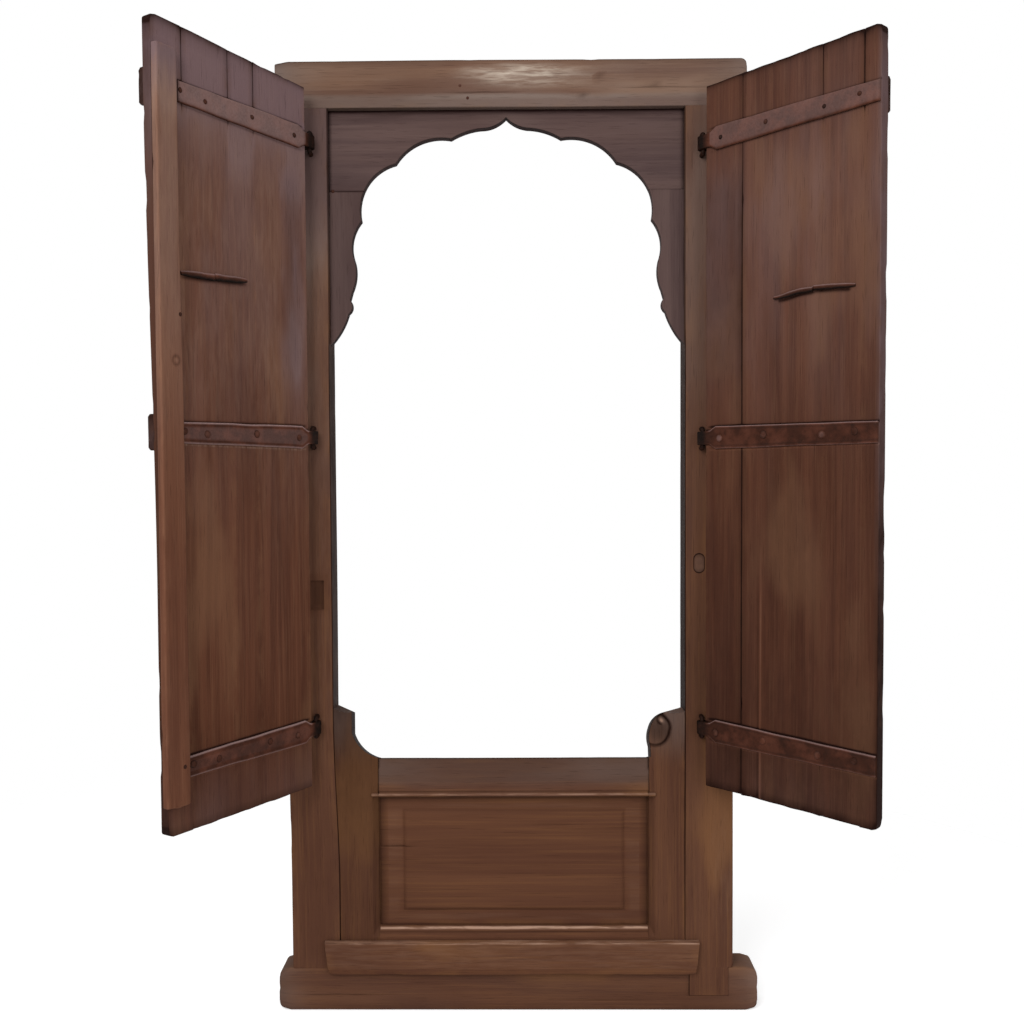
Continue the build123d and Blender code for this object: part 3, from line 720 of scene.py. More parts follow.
HAIR = 0.3 * MM
TONGUE_INSET = 9 * MM
TONGUE_DEPTH = 14 * MM
HORN_ROUND = 22 * MM
HORN_DROP = 18 * MM
SOCKET_PLACE = (-0.383, 0.846)
SOCKET_HALF = (13.5 * MM, 29 * MM)
SOCKET_SUNK = 6 * MM
SOCKET_RIM = 0.4 * MM
FOOT_BEND = 10 * MM
FOOT_BEND_OUTER = 4.5 * MM
REVEAL_EDGE = 1.5 * MM
ARCH_LEVEL = (1.33, 1.38)
# Drop and run of the header's worn left end
HEADER_SLOPE = (5 * MM, 26 * MM)
HEADER_ROUND = 13 * MM
# Place along the header and rise over its underside of the pale patch, and of each knot with its half width
HEADER_PATCH = (0.03, 0.066)
HEADER_KNOTS = ((0.186, 0.058, 9 * MM), (0.29, 0.042, 9 * MM), (0.155, 0.022, 7 * MM))
PEG_SIDES = 40
# Size, as a share of the peg's outline, and millimetres back from its tip
PEG_RINGS = ((0.02, 0.0), (0.5, 0.1), (0.8, 0.25), (0.93, 0.6), (1.0, 1.4), (1.0, 8.0), (1.0, 30.0))


def foot_bend(z):
    """Share of the left post's bend at a height: all of it at the foot, none above the dado."""
    return 1 - smooth(0.25, 0.6, z)


class WINDOW_OT_frame_timbers(bpy.types.Operator):
    """Sill, posts, header and peg"""
    bl_idname = "window.frame_timbers"
    bl_label = "Frame timbers"

    def execute(self, context):
        self.make_sill()
        self.make_posts()
        self.make_header()
        self.make_peg()
        return {"FINISHED"}

    def foot_box(self):
        """The right post's tongue over the sill: narrower than the post and let into the sill's front."""
        low, high = node_box("right_post")
        bed = node_box("sill_beam")[1][Z]
        return (np.array([low[X] + TONGUE_INSET, low[Y], low[Z]]),
                np.array([high[X] - TONGUE_INSET, low[Y] + TONGUE_DEPTH, bed]))

    def make_sill(self):
        """Sill: a block with its ends rounded off, greyed at the horns, and a housing for the right foot."""
        low, high = node_box("sill_beam")
        foot_low, foot_high = self.foot_box()
        middle, half = (low[Z] + high[Z]) / 2, (high[Z] - low[Z]) / 2

        def shape(points, rest):
            for end, way in ((low[X], 1), (high[X], -1)):
                depth = np.clip(1 - (rest[:, X] - end) * way / HORN_ROUND, 0, 1)
                points[:, Z] = middle + (points[:, Z] - middle) * (1 - HORN_DROP * quarter(depth) / half)
            housed = (rest[:, X] > foot_low[X] - HAIR) & (rest[:, X] < foot_high[X] + HAIR)
            housed &= (rest[:, Z] > foot_low[Z] - HAIR) & (rest[:, Y] < foot_high[Y])
            points[housed, Y] = np.maximum(points[housed, Y], foot_high[Y] + HAIR)
            return points

        def tone(rest):
            ends = fade(room(rest, low, high, X), 35 * MM)
            foot = fade(rest[:, Z] - low[Z], 8 * MM)
            left = fade(rest[:, X] - low[X], 16 * MM)
            return 0.1 * ends - 0.04 - 0.3 * foot - 0.45 * left

        def patina(rest):
            return 0.7 * fade(room(rest, low, high, X), 30 * MM) + 0.08

        borders = {X: [foot_low[X] - 2 * HAIR, foot_low[X] - HAIR / 2, foot_high[X] + HAIR / 2,
                       foot_high[X] + 2 * HAIR], Z: [foot_low[Z] - 2 * HAIR, foot_low[Z] - HAIR / 2]}
        cracks = [crack(Z, 0.031, -0.46, -0.2, 1.4 * MM, 2.5 * MM),
                  crack(Z, 0.02, 0.05, 0.34, 1.2 * MM, 1.5 * MM)]
        timber("sill_beam", X, "frame_timber", 3, 4 * MM, shape=shape, extra=borders, cracks=cracks,
               tone=tone, patina=patina, rough=1.3)

    def make_posts(self):
        """Posts: upright blocks; the left has a socket sunk in its front, the right a tongue at its foot."""
        jamb = node_box("right_post")[0][X]

        # Painted shade on the posts' faces beside the opening, weaker above the arch's spring
        def reveal_shade(rest):
            beside = np.abs(rest[:, X]) < jamb + REVEAL_EDGE
            return beside * (1 - 0.5 * smooth(*ARCH_LEVEL, rest[:, Z]))

        def patina(rest):
            left = (rest[:, X] < 0) * smooth(1.4, 1.66, rest[:, Z])
            return 0.05 + 0.55 * smooth(0.8, 1.7, rest[:, Z]) + 1.1 * left

        self.make_left_post(reveal_shade, patina)
        self.make_right_post(reveal_shade, patina)

    def make_left_post(self, reveal_shade, patina):
        """Left post: a block with the socket's floor pushed in, its foot bent towards the dado."""
        low, high = node_box("left_post")

        def from_socket(rest):
            off_x, off_z = (np.abs(rest[:, axis] - at) / half
                            for axis, at, half in zip((X, Z), SOCKET_PLACE, SOCKET_HALF))
            return np.maximum(off_x, off_z)

        def shape(points, rest):
            inside = (from_socket(rest) < 1) & on_front(rest, low)
            points[inside, Y] += SOCKET_SUNK
            share = (rest[:, X] - low[X]) / (high[X] - low[X])
            bend = FOOT_BEND_OUTER + (FOOT_BEND - FOOT_BEND_OUTER) * share
            points[:, X] += bend * foot_bend(rest[:, Z])
            return points

        def tone(rest):
            dark = np.exp(-from_socket(rest) ** 6) * on_front(rest, low)
            head = smooth(1.5, 1.68, rest[:, Z])
            foot = 1 - smooth(0.3, 0.6, rest[:, Z])
            return 0.03 - 0.4 * dark - 0.3 * head - 0.9 * reveal_shade(rest) - 0.09 * foot

        borders = {axis: [at + way * (half + rim) for way in (-1, 1) for rim in (-SOCKET_RIM, SOCKET_RIM)]
                   for axis, at, half in zip((X, Z), SOCKET_PLACE, SOCKET_HALF)}
        timber("left_post", Z, "frame_timber", 5, 3 * MM, shape=shape, extra=borders, tone=tone,
               patina=patina, tuck=(1, 1))

    def make_right_post(self, reveal_shade, patina):
        """Right post: a block whose part below the sill's top is drawn in to the tongue's box."""
        low, high = node_box("right_post")
        foot_low, foot_high = self.foot_box()
        bed = foot_high[Z]

        def shape(points, rest):
            below = rest[:, Z] < bed - ON_FACE
            for axis in (X, Y):
                share = (rest[:, axis] - low[axis]) / (high[axis] - low[axis])
                points[below, axis] = (foot_low[axis] + share * (foot_high[axis] - foot_low[axis]))[below]
            return points

        def tone(rest):
            warm = peak(rest[:, Z], 0.3, 0.25) * smooth(0.37, 0.42, rest[:, X])
            return 0.1 * warm - 0.2 * peak(rest[:, Z], 0.66, 0.16) - 0.06 - 0.9 * reveal_shade(rest)

        timber("right_post", Z, "frame_timber", 8, 3 * MM, shape=shape, extra={Z: [bed - SOCKET_RIM, bed]},
               tone=tone, patina=patina, tuck=(0, 1))

    def make_header(self):
        """Header: a block worn round at its upper ends, with a pale patch, knots and weather cracks."""
        low, high = node_box("header_beam")
        drop, run = HEADER_SLOPE

        def shape(points, rest):
            up = smooth(low[Z] + 30 * MM, high[Z], rest[:, Z])
            slope = drop * np.clip(1 - (rest[:, X] - low[X]) / run, 0, 1)
            depth = np.clip(1 - (high[X] - rest[:, X]) / HEADER_ROUND, 0, 1)
            points[:, Z] -= (slope + HEADER_ROUND * quarter(depth)) * up
            return points

        def tone(rest):
            x, z = rest[:, X], rest[:, Z] - low[Z]
            patch = peak(x, HEADER_PATCH[0], 0.1) * peak(z, HEADER_PATCH[1], 0.02) * on_front(rest, low)
            knots = sum(peak(x, along, width) * peak(z, up, 6 * MM) for along, up, width in HEADER_KNOTS)
            foot = 1 - smooth(14 * MM, 32 * MM, z)
            rim = fade(high[Z] - rest[:, Z], 3.5 * MM)
            dull = 0.14 * (1 - smooth(-0.3, 0.05, x)) + 0.2 * fade(x - low[X], 22 * MM)
            return 0.62 * patch - 0.45 * knots - 0.16 * foot - 0.75 * rim - dull

        def patina(rest):
            ends = fade(room(rest, low, high, X), 32 * MM)
            foot = 1 - smooth(16 * MM, 30 * MM, rest[:, Z] - low[Z])
            return 0.2 + 0.75 * ends + 0.25 * smooth(0.1, 0.3, rest[:, X]) + 1.1 * foot

        rows = {X: np.concatenate([low[X] + np.arange(4, 30, 4) * MM, high[X] - np.arange(1, 16, 1.5) * MM])}
        cracks = [crack(Z, low[Z] + 36 * MM, 0.2, 0.44, 1.2 * MM, 2 * MM),
                  crack(Z, low[Z] + 28 * MM, -0.14, 0.06, 1.2 * MM, 2 * MM)]
        timber("header_beam", X, "header_timber", 13, 2.5 * MM, shape=shape, extra=rows, cracks=cracks,
               tone=tone, patina=patina)

    def make_peg(self):
        """Peg: a slot-shaped rod; rings of its outline run from the tip's middle out, then back."""
        low, high = node_box("right_post_peg")
        middle = (low + high) / 2
        half_x, half_z = (high[X] - low[X]) / 2, (high[Z] - low[Z]) / 2
        turn = np.linspace(0, 2 * math.pi, PEG_SIDES, endpoint=False)
        across = half_x * np.cos(turn)
        up = half_x * np.sin(turn) + np.sign(np.sin(turn)) * (half_z - half_x)
        size, back = np.transpose(PEG_RINGS)
        depth = np.broadcast_to(low[Y] + back[:, None] * MM, (len(size), PEG_SIDES))
        points = np.stack([middle[X] + across * size[:, None], depth, middle[Z] + up * size[:, None]], -1)
        ids = np.arange(len(size) * PEG_SIDES).reshape(len(size), PEG_SIDES)
        tips = [[middle[X], low[Y] + back[end] * MM, middle[Z]] for end in (0, -1)]
        points = np.concatenate([points.reshape(-1, 3), tips])
        caps = np.concatenate([fan(ids[0], ids.size), fan(ids[-1], ids.size + 1, True)])
        wide = np.repeat(size, PEG_SIDES)
        edge = np.append(np.exp(-np.abs(1 - wide) / 0.1), [0, 0])
        tone = np.append(0.02 - 1.3 * smooth(0.72, 0.95, wide), [0.02, 0])
        values = board_attributes(points, low, high, Y, 19, tone, 0.5 + zeros(points), edge)
        piece = add_mesh("right_post_peg_timber", points, ring_quads(ids, True), "frame", caps, values)
        dress(piece, "frame_timber", "right_post_peg")


# Cusped arch

# Right half of the edge from apex to spring, as shares of half span and rise: each row is a cusp and the
# middle of the arc after it, or no middle where the edge runs straight
ARCH_EDGE = (
    (0.0, 0.968), (0.048, 0.940),
    (0.119, 0.923), (0.215, 0.911),
    (0.309, 0.879), (0.493, 0.862),
    (0.622, 0.775), (0.765, 0.706),
    (0.818, 0.533), (0.867, 0.456),
    (0.858, 0.361), (0.850, 0.302),
    (0.873, 0.231), None,
    (0.887, 0.194), (0.875, 0.163),
    (0.896, 0.136), (0.924, 0.082),
    (1.0, 0.0),
)
ARC_POINTS = 22
STRAIGHT_POINTS = 6
# Seed, tone along the seam and tone of the rest
CHEEK_LOOKS = {"left": (47, -0.7, -0.12), "right": (53, -0.2, 0.0)}


class WINDOW_OT_arch_boards(bpy.types.Operator):
    """Head board and two cheeks of the cusped arch"""
    bl_idname = "window.arch_boards"
    bl_label = "Arch boards"

    def execute(self, context):
        edge = self.cusped_edge()
        self.make_head(edge)
        for side in SIDES:
            self.make_cheek(edge, side)
        return {"FINISHED"}

    def cusped_edge(self):
        """Right half of the arch's edge from apex to spring: one arc for each lobe."""
        half, _, top = node_box("arch_head_board")[1]
        spring = node_box("right_arch_cheek")[0][Z]
        edge = [spot and (spot[0] * half, spring + spot[1] * (top - spring)) for spot in ARCH_EDGE]
        runs = [np.array(edge[:1])]
        for start, through, end in zip(edge[0::2], edge[1::2], edge[2::2]):
            if through is None:
                runs.append(np.linspace(start, end, STRAIGHT_POINTS)[1:])
            else:
                runs.append(arc_points(start, through, end, ARC_POINTS)[1:])
        return np.concatenate(runs)

    def split(self, edge, seam):
        """The edge's points above the seam, the place where it crosses the seam, and its points below."""
        step = np.argmax(edge[:, 1] <= seam)
        share = (seam - edge[step - 1, 1]) / (edge[step, 1] - edge[step - 1, 1])
        crossing = edge[step - 1] + share * (edge[step] - edge[step - 1])
        return edge[edge[:, 1] > seam], crossing, edge[edge[:, 1] < seam]

    def slab(self, node, near, far, grain, seed, tone):
        """A sawn board: a ruled skin from the near line to the far one, with painted shade on the sawn near
        edge.
        """
        low, high = node_box(node)
        width = np.linalg.norm(far - near, axis=1).mean()
        skin = ruled_skin(near, far, (low[Y], high[Y]), width, (9 * MM, 8 * MM), 1.8 * MM, X, seed)
        spot = skin["points"]
        points = swelled(spot, 0.7, (0.12, 0.05, 0.05), seed)
        edge = fade(skin["from_near"], 5 * MM) * fade(skin["inset"], 5 * MM)
        # Painted shade on the sawn near edge
        sawn = (skin["inset"] > 1 * MM) & (skin["from_near"] < ON_FACE)
        values = board_attributes(spot, low, high, grain, seed, tone(spot) - 0.8 * sawn, 0.15 + zeros(spot),
                                  0.4 * edge)
        piece = add_mesh(f"{node}_timber", points, skin["quads"], "frame", attributes=values)
        return dress(piece, "arch_timber", node)

    def make_head(self, edge):
        """Head board: the near line is the cusped edge above the seam, the far line under the header."""
        low, high = node_box("arch_head_board")
        above, crossing, _ = self.split(edge, low[Z])
        half = np.concatenate([above, np.linspace(crossing, (high[X], low[Z]), 9)])
        bottom = np.concatenate([half[:0:-1] * (-1, 1), half])
        top = np.stack([bottom[:, 0], np.full(len(bottom), high[Z])], 1)

        # Painted shadow under the header along the board's top, and a little darker in the middle
        def tone(spot):
            return -1.1 * peak(spot[:, Z], high[Z], 6 * MM) - 0.16 * peak(spot[:, X], 0, 0.17)

        self.slab("arch_head_board", bottom, top, X, 41, tone)

    def make_cheek(self, edge, side):
        """Cheek: the near line is the cusped edge below the seam, the far line the post's face."""
        seam = node_box(f"{side}_arch_cheek")[1][Z]
        seed, seam_tone, ground = CHEEK_LOOKS[side]
        _, crossing, below = self.split(edge, seam)
        near = np.concatenate([[crossing], below])
        near[:, 1] = np.minimum(near[:, 1], seam)
        far = np.stack([np.full(len(near), edge[-1, 0] + 0.2 * MM), near[:, 1]], 1)
        if side == "left":
            near, far = near[::-1] * (-1, 1), far[::-1] * (-1, 1)

        def tone(spot):
            return ground + seam_tone * peak(spot[:, Z], seam, 1.5 * MM)

        self.slab(f"{side}_arch_cheek", near, far, Z, seed, tone)


# Dado

TOP_SLOPE = 0.26
BEAD = 4.5 * MM
BEAD_PROUD = 3.5 * MM
# How far back and over what rise the bottom rail's top slopes
SLOPED_TOP = (14 * MM, 20 * MM)
FIELD_RISE = 4 * MM
FIELD_BEVEL = 7 * MM
FIELD_MARGINS = {X: 48 * MM, Z: 30 * MM}
PLINTH_SLANT = 6.5 * MM
PLINTH_ROUND = 3 * MM
STILE_BEVEL = 14 * MM
STATIONS = 40
VOLUTE = 20 * MM


class WINDOW_OT_dado(bpy.types.Operator):
    """Rails, panel, shaped stiles and plinth under the opening"""
    bl_idname = "window.dado"
    bl_label = "Dado"

    def execute(self, context):
        self.make_top_rail()
        self.make_bottom_rail()
        self.make_panel()
        self.make_plinth()
        self.make_left_stile()
        self.make_right_stile()
        return {"FINISHED"}

    def make_top_rail(self):
        """Top rail: a block with a half-round bead along its lower edge, which alone runs on over the stiles.

        The block's ends past the stiles are squeezed into the bead; the top's front edge stands higher."""
        low, high = node_box("dado_top_rail")
        ends = (node_box("left_dado_stile")[1][X], node_box("right_dado_stile")[0][X])
        front = low[Y] + BEAD_PROUD
        squeeze = 2 * BEAD / (high[Z] - low[Z])

        def past(rest):
            return (rest[:, X] < ends[0] - ON_FACE) | (rest[:, X] > ends[1] + ON_FACE)

        def rise(rest):
            return (rest[:, Z] - low[Z]) * np.where(past(rest), squeeze, 1)

        def half_round(up):
            return np.sqrt(np.clip(BEAD ** 2 - (up - BEAD) ** 2, 0, None))

        def shape(points, rest):
            up = rest[:, Z] - low[Z]
            proud = np.where(up < 2 * BEAD, np.maximum(half_round(up) - 1 * MM, 0), 0)
            groove = 1.2 * MM * peak(up, 2.3 * BEAD, 1.1 * MM)
            points[:, Y] += np.where(on_front(rest, low), BEAD_PROUD - proud + groove, 0)
            points[:, Z] += TOP_SLOPE * (high[Y] - rest[:, Y]) * smooth(0.5, 1, up / (high[Z] - low[Z]))
            over = past(rest)
            share = (rest[:, Y] - low[Y]) / (high[Y] - low[Y])
            lying = front - half_round(up * squeeze) * 0.78
            points[over, Y] = (lying * (1 - share) + (front + 1 * MM) * share)[over]
            points[over, Z] = (low[Z] + up * squeeze)[over]
            return points

        def tone(rest):
            up = rise(rest)
            # Painted highlight on the bead with a painted shade line in the groove over it, painted shade
            # along the lowest edge and on the top face, and darker over the upper part
            gleam = peak(up, 1.3 * BEAD, 1.8 * MM) - peak(up, 2.4 * BEAD, 1.6 * MM)
            top_face_shade = fade(high[Z] - low[Z] - up, 2.5 * MM)
            upper = smooth(20 * MM, 36 * MM, up)
            return 0.34 * gleam - 0.5 * fade(up, 1.2 * MM) - 0.3 * upper - 0.3 * top_face_shade

        def patina(rest):
            return 0.1 + 0.5 * smooth(17 * MM, 38 * MM, rise(rest))

        hair = 0.2 * MM
        rows = np.concatenate([np.linspace(0.3, 2.0, 9), [2.15, 2.3, 2.45, 2.7]]) * BEAD
        extra = {X: [ends[0] - hair, ends[0], ends[1], ends[1] + hair], Z: low[Z] + rows}
        timber("dado_top_rail", X, "frame_timber", 61, 2 * MM, shape=shape, extra=extra, tone=tone,
               patina=patina)

    def make_bottom_rail(self):
        """Bottom rail: a block whose front slopes back over its upper part, with a gleam along the slope."""
        low, high = node_box("dado_bottom_rail")
        back, rise = SLOPED_TOP

        def shape(points, rest):
            slope = np.clip((rest[:, Z] - (high[Z] - rise)) / rise, 0, 1)
            points[:, Y] += back * slope * (high[Y] - points[:, Y]) / (high[Y] - low[Y])
            return points

        def tone(rest):
            # Painted highlight along the slope with a painted shade line under it, and darker along the top
            # edge
            down = high[Z] - rest[:, Z]
            bright = 0.8 + 0.7 * peak(rest[:, X], 0.02, 0.1)
            gleam = bright * peak(down, 5 * MM, 2 * MM)
            return gleam - 0.45 * peak(down, 11.5 * MM, 1.5 * MM) - 0.3 * fade(down, 1 * MM)

        rows = {Z: high[Z] - np.concatenate([np.arange(1, 15), [16, 18, 19, 20, 21, 22, 24]]) * MM}
        timber("dado_bottom_rail", X, "frame_timber", 67, 1.5 * MM, shape=shape, extra=rows, tone=tone,
               tuck=(1, 1))

    def make_panel(self):
        """Panel: its front rises by a bevelled step to the field, which is scored and cracked."""
        low, high = node_box("dado_panel")

        def in_field(rest):
            across, up = (room(rest, low, high, axis) - FIELD_MARGINS[axis] for axis in (X, Z))
            return np.minimum(across, up)

        def shape(points, rest):
            raised = np.clip(in_field(rest) / FIELD_BEVEL, 0, 1)
            groove = 0.7 * MM * peak(in_field(rest), 0, 1.4 * MM)
            points[:, Y] += np.where(on_front(rest, low), FIELD_RISE * (1 - raised) + groove, 0)
            return points

        def tone(rest):
            foot = 1 - smooth(low[Z] + 20 * MM, low[Z] + 120 * MM, rest[:, Z])
            border = peak(in_field(rest), 0, 2.2 * MM) * (0.08 + 0.2 * foot)
            sides = room(rest, low, high, X)
            ends = np.minimum(4 * (rest[:, Z] - low[Z]), high[Z] - rest[:, Z])
            # Painted shadow under the bead along the top, and painted shade along the sides and foot where
            # the panel sits back
            edge_shadow = np.maximum(peak(sides, 3 * MM, 4 * MM), fade(ends, 4 * MM))
            scratch = np.exp(-((rest[:, X] - 0.085) / 0.04) ** 4) * peak(rest[:, Z], 0.372, 1.6 * MM)
            margin = 0.05 * (in_field(rest) < 0)
            return on_front(rest, low) * (0.12 * scratch + margin - 0.02 - border - 0.68 * edge_shadow)

        steps = np.array([-3, -1.4, 0, 1.4, 3, 7, 9]) * MM
        lines = {axis: [end + way * (margin + step) for end, way in ((low[axis], 1), (high[axis], -1))
                        for step in steps] for axis, margin in FIELD_MARGINS.items()}
        cracks = [crack(Z, 0.332, -0.268, -0.185, 1.3 * MM, 4 * MM),
                  crack(Z, 0.376, 0.03, 0.13, 1.0 * MM, 1.2 * MM),
                  crack(Z, 0.369, 0.05, 0.12, 1.0 * MM, 1.0 * MM)]
        timber("dado_panel", X, "frame_timber", 71, 1 * MM, shape=shape, extra=lines, cracks=cracks,
               tone=tone, rough=0.8, figure=0.45)

    def make_plinth(self):
        """Plinth: a thin board, its ends slanted in towards the foot, its front top edge rounded."""
        low, high = node_box("plinth_board")
        middle, half = (low[X] + high[X]) / 2, (high[X] - low[X]) / 2

        def shape(points, rest):
            slant = PLINTH_SLANT * (high[Z] - rest[:, Z]) / (high[Z] - low[Z])
            points[:, X] = middle + (points[:, X] - middle) * (1 - slant / half)
            corner = PLINTH_ROUND * fade(rest[:, Y] - low[Y], 4 * MM) * fade(high[Z] - rest[:, Z], 4 * MM)
            points[:, Z] -= corner
            points[:, Y] += corner
            return points

        def tone(rest):
            gleam = peak(high[Z] - rest[:, Z], 2 * MM, 1.8 * MM)
            patches = 0.6 + 0.5 * drift(rest, (0.07, 1, 1), 77)
            return 0.05 + 0.75 * gleam * patches - 0.28 * fade(rest[:, Z] - low[Z], 4 * MM)

        rows = {Z: high[Z] - np.array([1, 2, 3, 4, 5, 6, 8]) * MM}
        timber("plinth_board", X, "frame_timber", 73, 1.8 * MM, shape=shape, tone=tone, extra=rows)

    def panel_ends(self):
        """Heights of the bottom rail's top and the panel's head, between which the stiles are bevelled."""
        return node_box("dado_bottom_rail")[1][Z], node_box("dado_panel")[1][Z]

    def bevel(self, spot, inner):
        """How far a stile's front sinks beside the panel: a bevel as wide as deep, mitred at its foot."""
        foot, head = self.panel_ends()
        across = np.clip(1 - np.abs(spot[:, X] - inner) / STILE_BEVEL, 0, 1)
        up = np.clip((spot[:, Z] - foot + SLOPED_TOP[1]) / SLOPED_TOP[1], 0, 1)
        return STILE_BEVEL * np.minimum(across, up) * (spot[:, Z] < head + ON_FACE)

    def stile(self, node, inner, post, seed, stain, carve=zeros):
        """A shaped stile: a ruled skin from the inner line, which has the shaped top, to the post's line."""
        low, high = node_box(node)
        width = abs(post[0, 0] - inner[0, 0])
        skin = ruled_skin(inner, post, (low[Y], high[Y]), width, (2.2 * MM, 9 * MM), 2.2 * MM, Z, seed)
        spot, rest, station = skin["points"], skin["rest"], skin["station"]
        from_inner, inset = skin["from_near"], skin["inset"]
        points = swelled(spot, 1.0, (0.06, 0.06, 0.25), seed)
        front = on_front(rest, low)
        carved = carve(spot) * front
        sunk = self.bevel(spot, inner[0, 0])
        points[:, Y] += np.where(front, carved, 0)
        points[:, Y] = np.maximum(points[:, Y], np.minimum(low[Y] + sunk, high[Y] - 1 * MM))
        crest = fade(from_inner, 25 * MM) * (station >= STATIONS - 1)
        points[:, Z] += TOP_SLOPE * (high[Y] - rest[:, Y]) * crest
        shade = fade(np.abs(spot[:, X] - inner[0, 0]), 2 * MM) * (sunk > 0)
        grey = smooth(0.49, 0.6, spot[:, Z])
        # Painted shade on the face along the shaped top; the darkening is slight overall, with painted shade
        # in the carved grooves and on the bevel beside the panel
        top_edge_shade = (station > STATIONS - 1) & (from_inner < ON_FACE)
        darkening = 0.05 + 0.14 * np.clip(carved / MM, 0, 5) + 0.3 * shade
        tone = stain(spot) - darkening - 0.2 * grey - 0.75 * top_edge_shade
        edge = fade(np.minimum(from_inner, width - from_inner), 5 * MM) * fade(inset, 5 * MM)
        quads = skin["quads"][:, ::-1] if post[0, 0] < inner[0, 0] else skin["quads"]
        values = board_attributes(spot, low, high, Z, seed, tone, 0.03 + 0.65 * grey, edge)
        piece = add_mesh(f"{node}_timber", points, quads, "frame", attributes=values)
        return dress(piece, "frame_timber", node)

    def upright(self, x, start, end):
        """The stations up a stile's straight edge, crowded where the panel's bevel starts and stops."""
        foot, head = self.panel_ends()
        hair = 0.1 * MM
        mitre = foot - np.arange(20, -1, -2.5) * MM
        beside = np.linspace(foot + 10 * MM, head - 10 * MM, 14)
        z = np.concatenate([np.linspace(start, foot - 21 * MM, 8), mitre, beside, [head - hair, head + hair],
                            np.linspace(head + 9 * MM, end, 7)])
        return np.stack([np.full(STATIONS, x), z], 1)

    def make_left_stile(self):
        """Left stile: its scroll has broken away to a stub over a hollow sweep."""
        low, high = node_box("left_dado_stile")
        rail = node_box("dado_top_rail")[1][Z]
        stub = low[X] + 37 * MM
        sweep_top = rail + 50 * MM
        stub_top = high[Z] - 14.8 * MM
        hollow = ((stub + high[X]) / 2 - 8.3 * MM, rail + 20 * MM)
        straight = self.upright(high[X], low[Z], rail)
        sweep = arc_points((high[X], rail), hollow, (stub, sweep_top), 24)
        neck = np.linspace((stub, sweep_top), (stub, stub_top), 14)
        inner = np.concatenate([straight, sweep[1:], neck[1:]])
        inner[-3:, 1] += np.array([-1.5, 1.0, -2.0]) * MM
        rise = np.interp(np.arange(len(inner)), [STATIONS - 1, len(inner) - 1], [rail, high[Z]])
        rise[:STATIONS] = straight[:, 1]
        post = np.stack([low[X] + FOOT_BEND * foot_bend(rise), rise], 1)

        def stain(spot):
            return -0.2 - 0.22 * smooth(0.3, 0.42, spot[:, Z])

        self.stile("left_dado_stile", inner, post, 83, stain)

    def make_right_stile(self):
        """Right stile: a rolled scroll, its volute carved round a boss; the arcs are the solid's own."""
        low, high = node_box("right_dado_stile")
        rail = node_box("dado_top_rail")[1][Z]
        neck = low[X] + 4.5 * MM
        scroll = high[Z] - rail
        eye = np.array([neck + 0.9 * VOLUTE, rail + 0.65 * scroll])

        def at(across, up):
            return eye + np.array([across, up]) * VOLUTE

        throat = np.array([neck - 0.05 * VOLUTE, eye[1] - 2.25 * VOLUTE])
        cheek = np.array([neck - 0.05 * VOLUTE, eye[1] - 0.35 * VOLUTE])
        brow = np.array([eye[0] + 0.7 * VOLUTE, high[Z] - 0.1 * scroll])
        straight = self.upright(low[X], low[Z], rail - 0.5 * MM)
        step = np.linspace((low[X] + 0.5 * MM, rail), (neck, rail + 1 * MM), 6)
        rise = np.linspace((neck, rail + 1.5 * MM), throat, 14)
        nose = arc_points(throat, (neck - 0.2 * VOLUTE, eye[1] - 1.15 * VOLUTE), cheek, 26)
        forehead = arc_points(cheek, at(-0.28, 0.78), brow, 34)
        inner = np.concatenate([straight, step, rise[1:], nose[1:], forehead[1:]])
        up = np.interp(np.arange(len(inner)), [STATIONS - 1, STATIONS + 5, len(inner) - 1],
                       [rail - 0.5 * MM, rail + 3 * MM, high[Z]])
        up[:STATIONS] = straight[:, 1]
        post = np.stack([np.full(len(inner), high[X]), up], 1)
        line = np.concatenate([arc_points(at(-1.25, -2.05), at(0.35, -1.5), at(1.0, -0.2), 50),
                               arc_points(at(1.0, -0.2), at(0.95, 0.55), at(0.4, 1.0), 30),
                               arc_points(at(0.4, 1.0), at(-0.15, 0.75), at(0.1, 0.3), 26)])

        def off(spot, middle, stretch=(1, 1)):
            return np.linalg.norm((spot[:, [X, Z]] - middle) / stretch, axis=1)

        def carve(spot):
            near = np.linalg.norm(spot[:, None, [X, Z]] - line[None], axis=2).min(1)
            groove = 4.5 * MM * peak(near, 0, 3 * MM)
            boss = np.clip(1 - (off(spot, at(0.25, 0.2)) / (8 * MM)) ** 2, 0, None)
            bud = np.clip(1 - (off(spot, at(-0.1, -0.7), (0.95, 1.35)) / (15 * MM)) ** 2, 0, None)
            return groove - 2.0 * MM * boss - 1.5 * MM * bud

        # A painted highlight on the boss, and the scroll round the volute darker
        def stain(spot):
            roll = np.exp(-(off(spot, at(-0.15, -0.3)) / (26 * MM)) ** 4)
            gleam = peak(off(spot, at(0.1, 0.62), (1.3, 1)), 0, 4 * MM)
            return 1.3 * gleam - 0.4 * roll - 0.03

        self.stile("right_dado_stile", inner, post, 89, stain, carve)


# Leaves

STRAP_PLACES = ("low", "middle", "top")
PLANKS = 4
PLANK_SEEDS = {"left": 100, "right": 400}
BATTEN_SEEDS = {"left": 500, "right": 520}
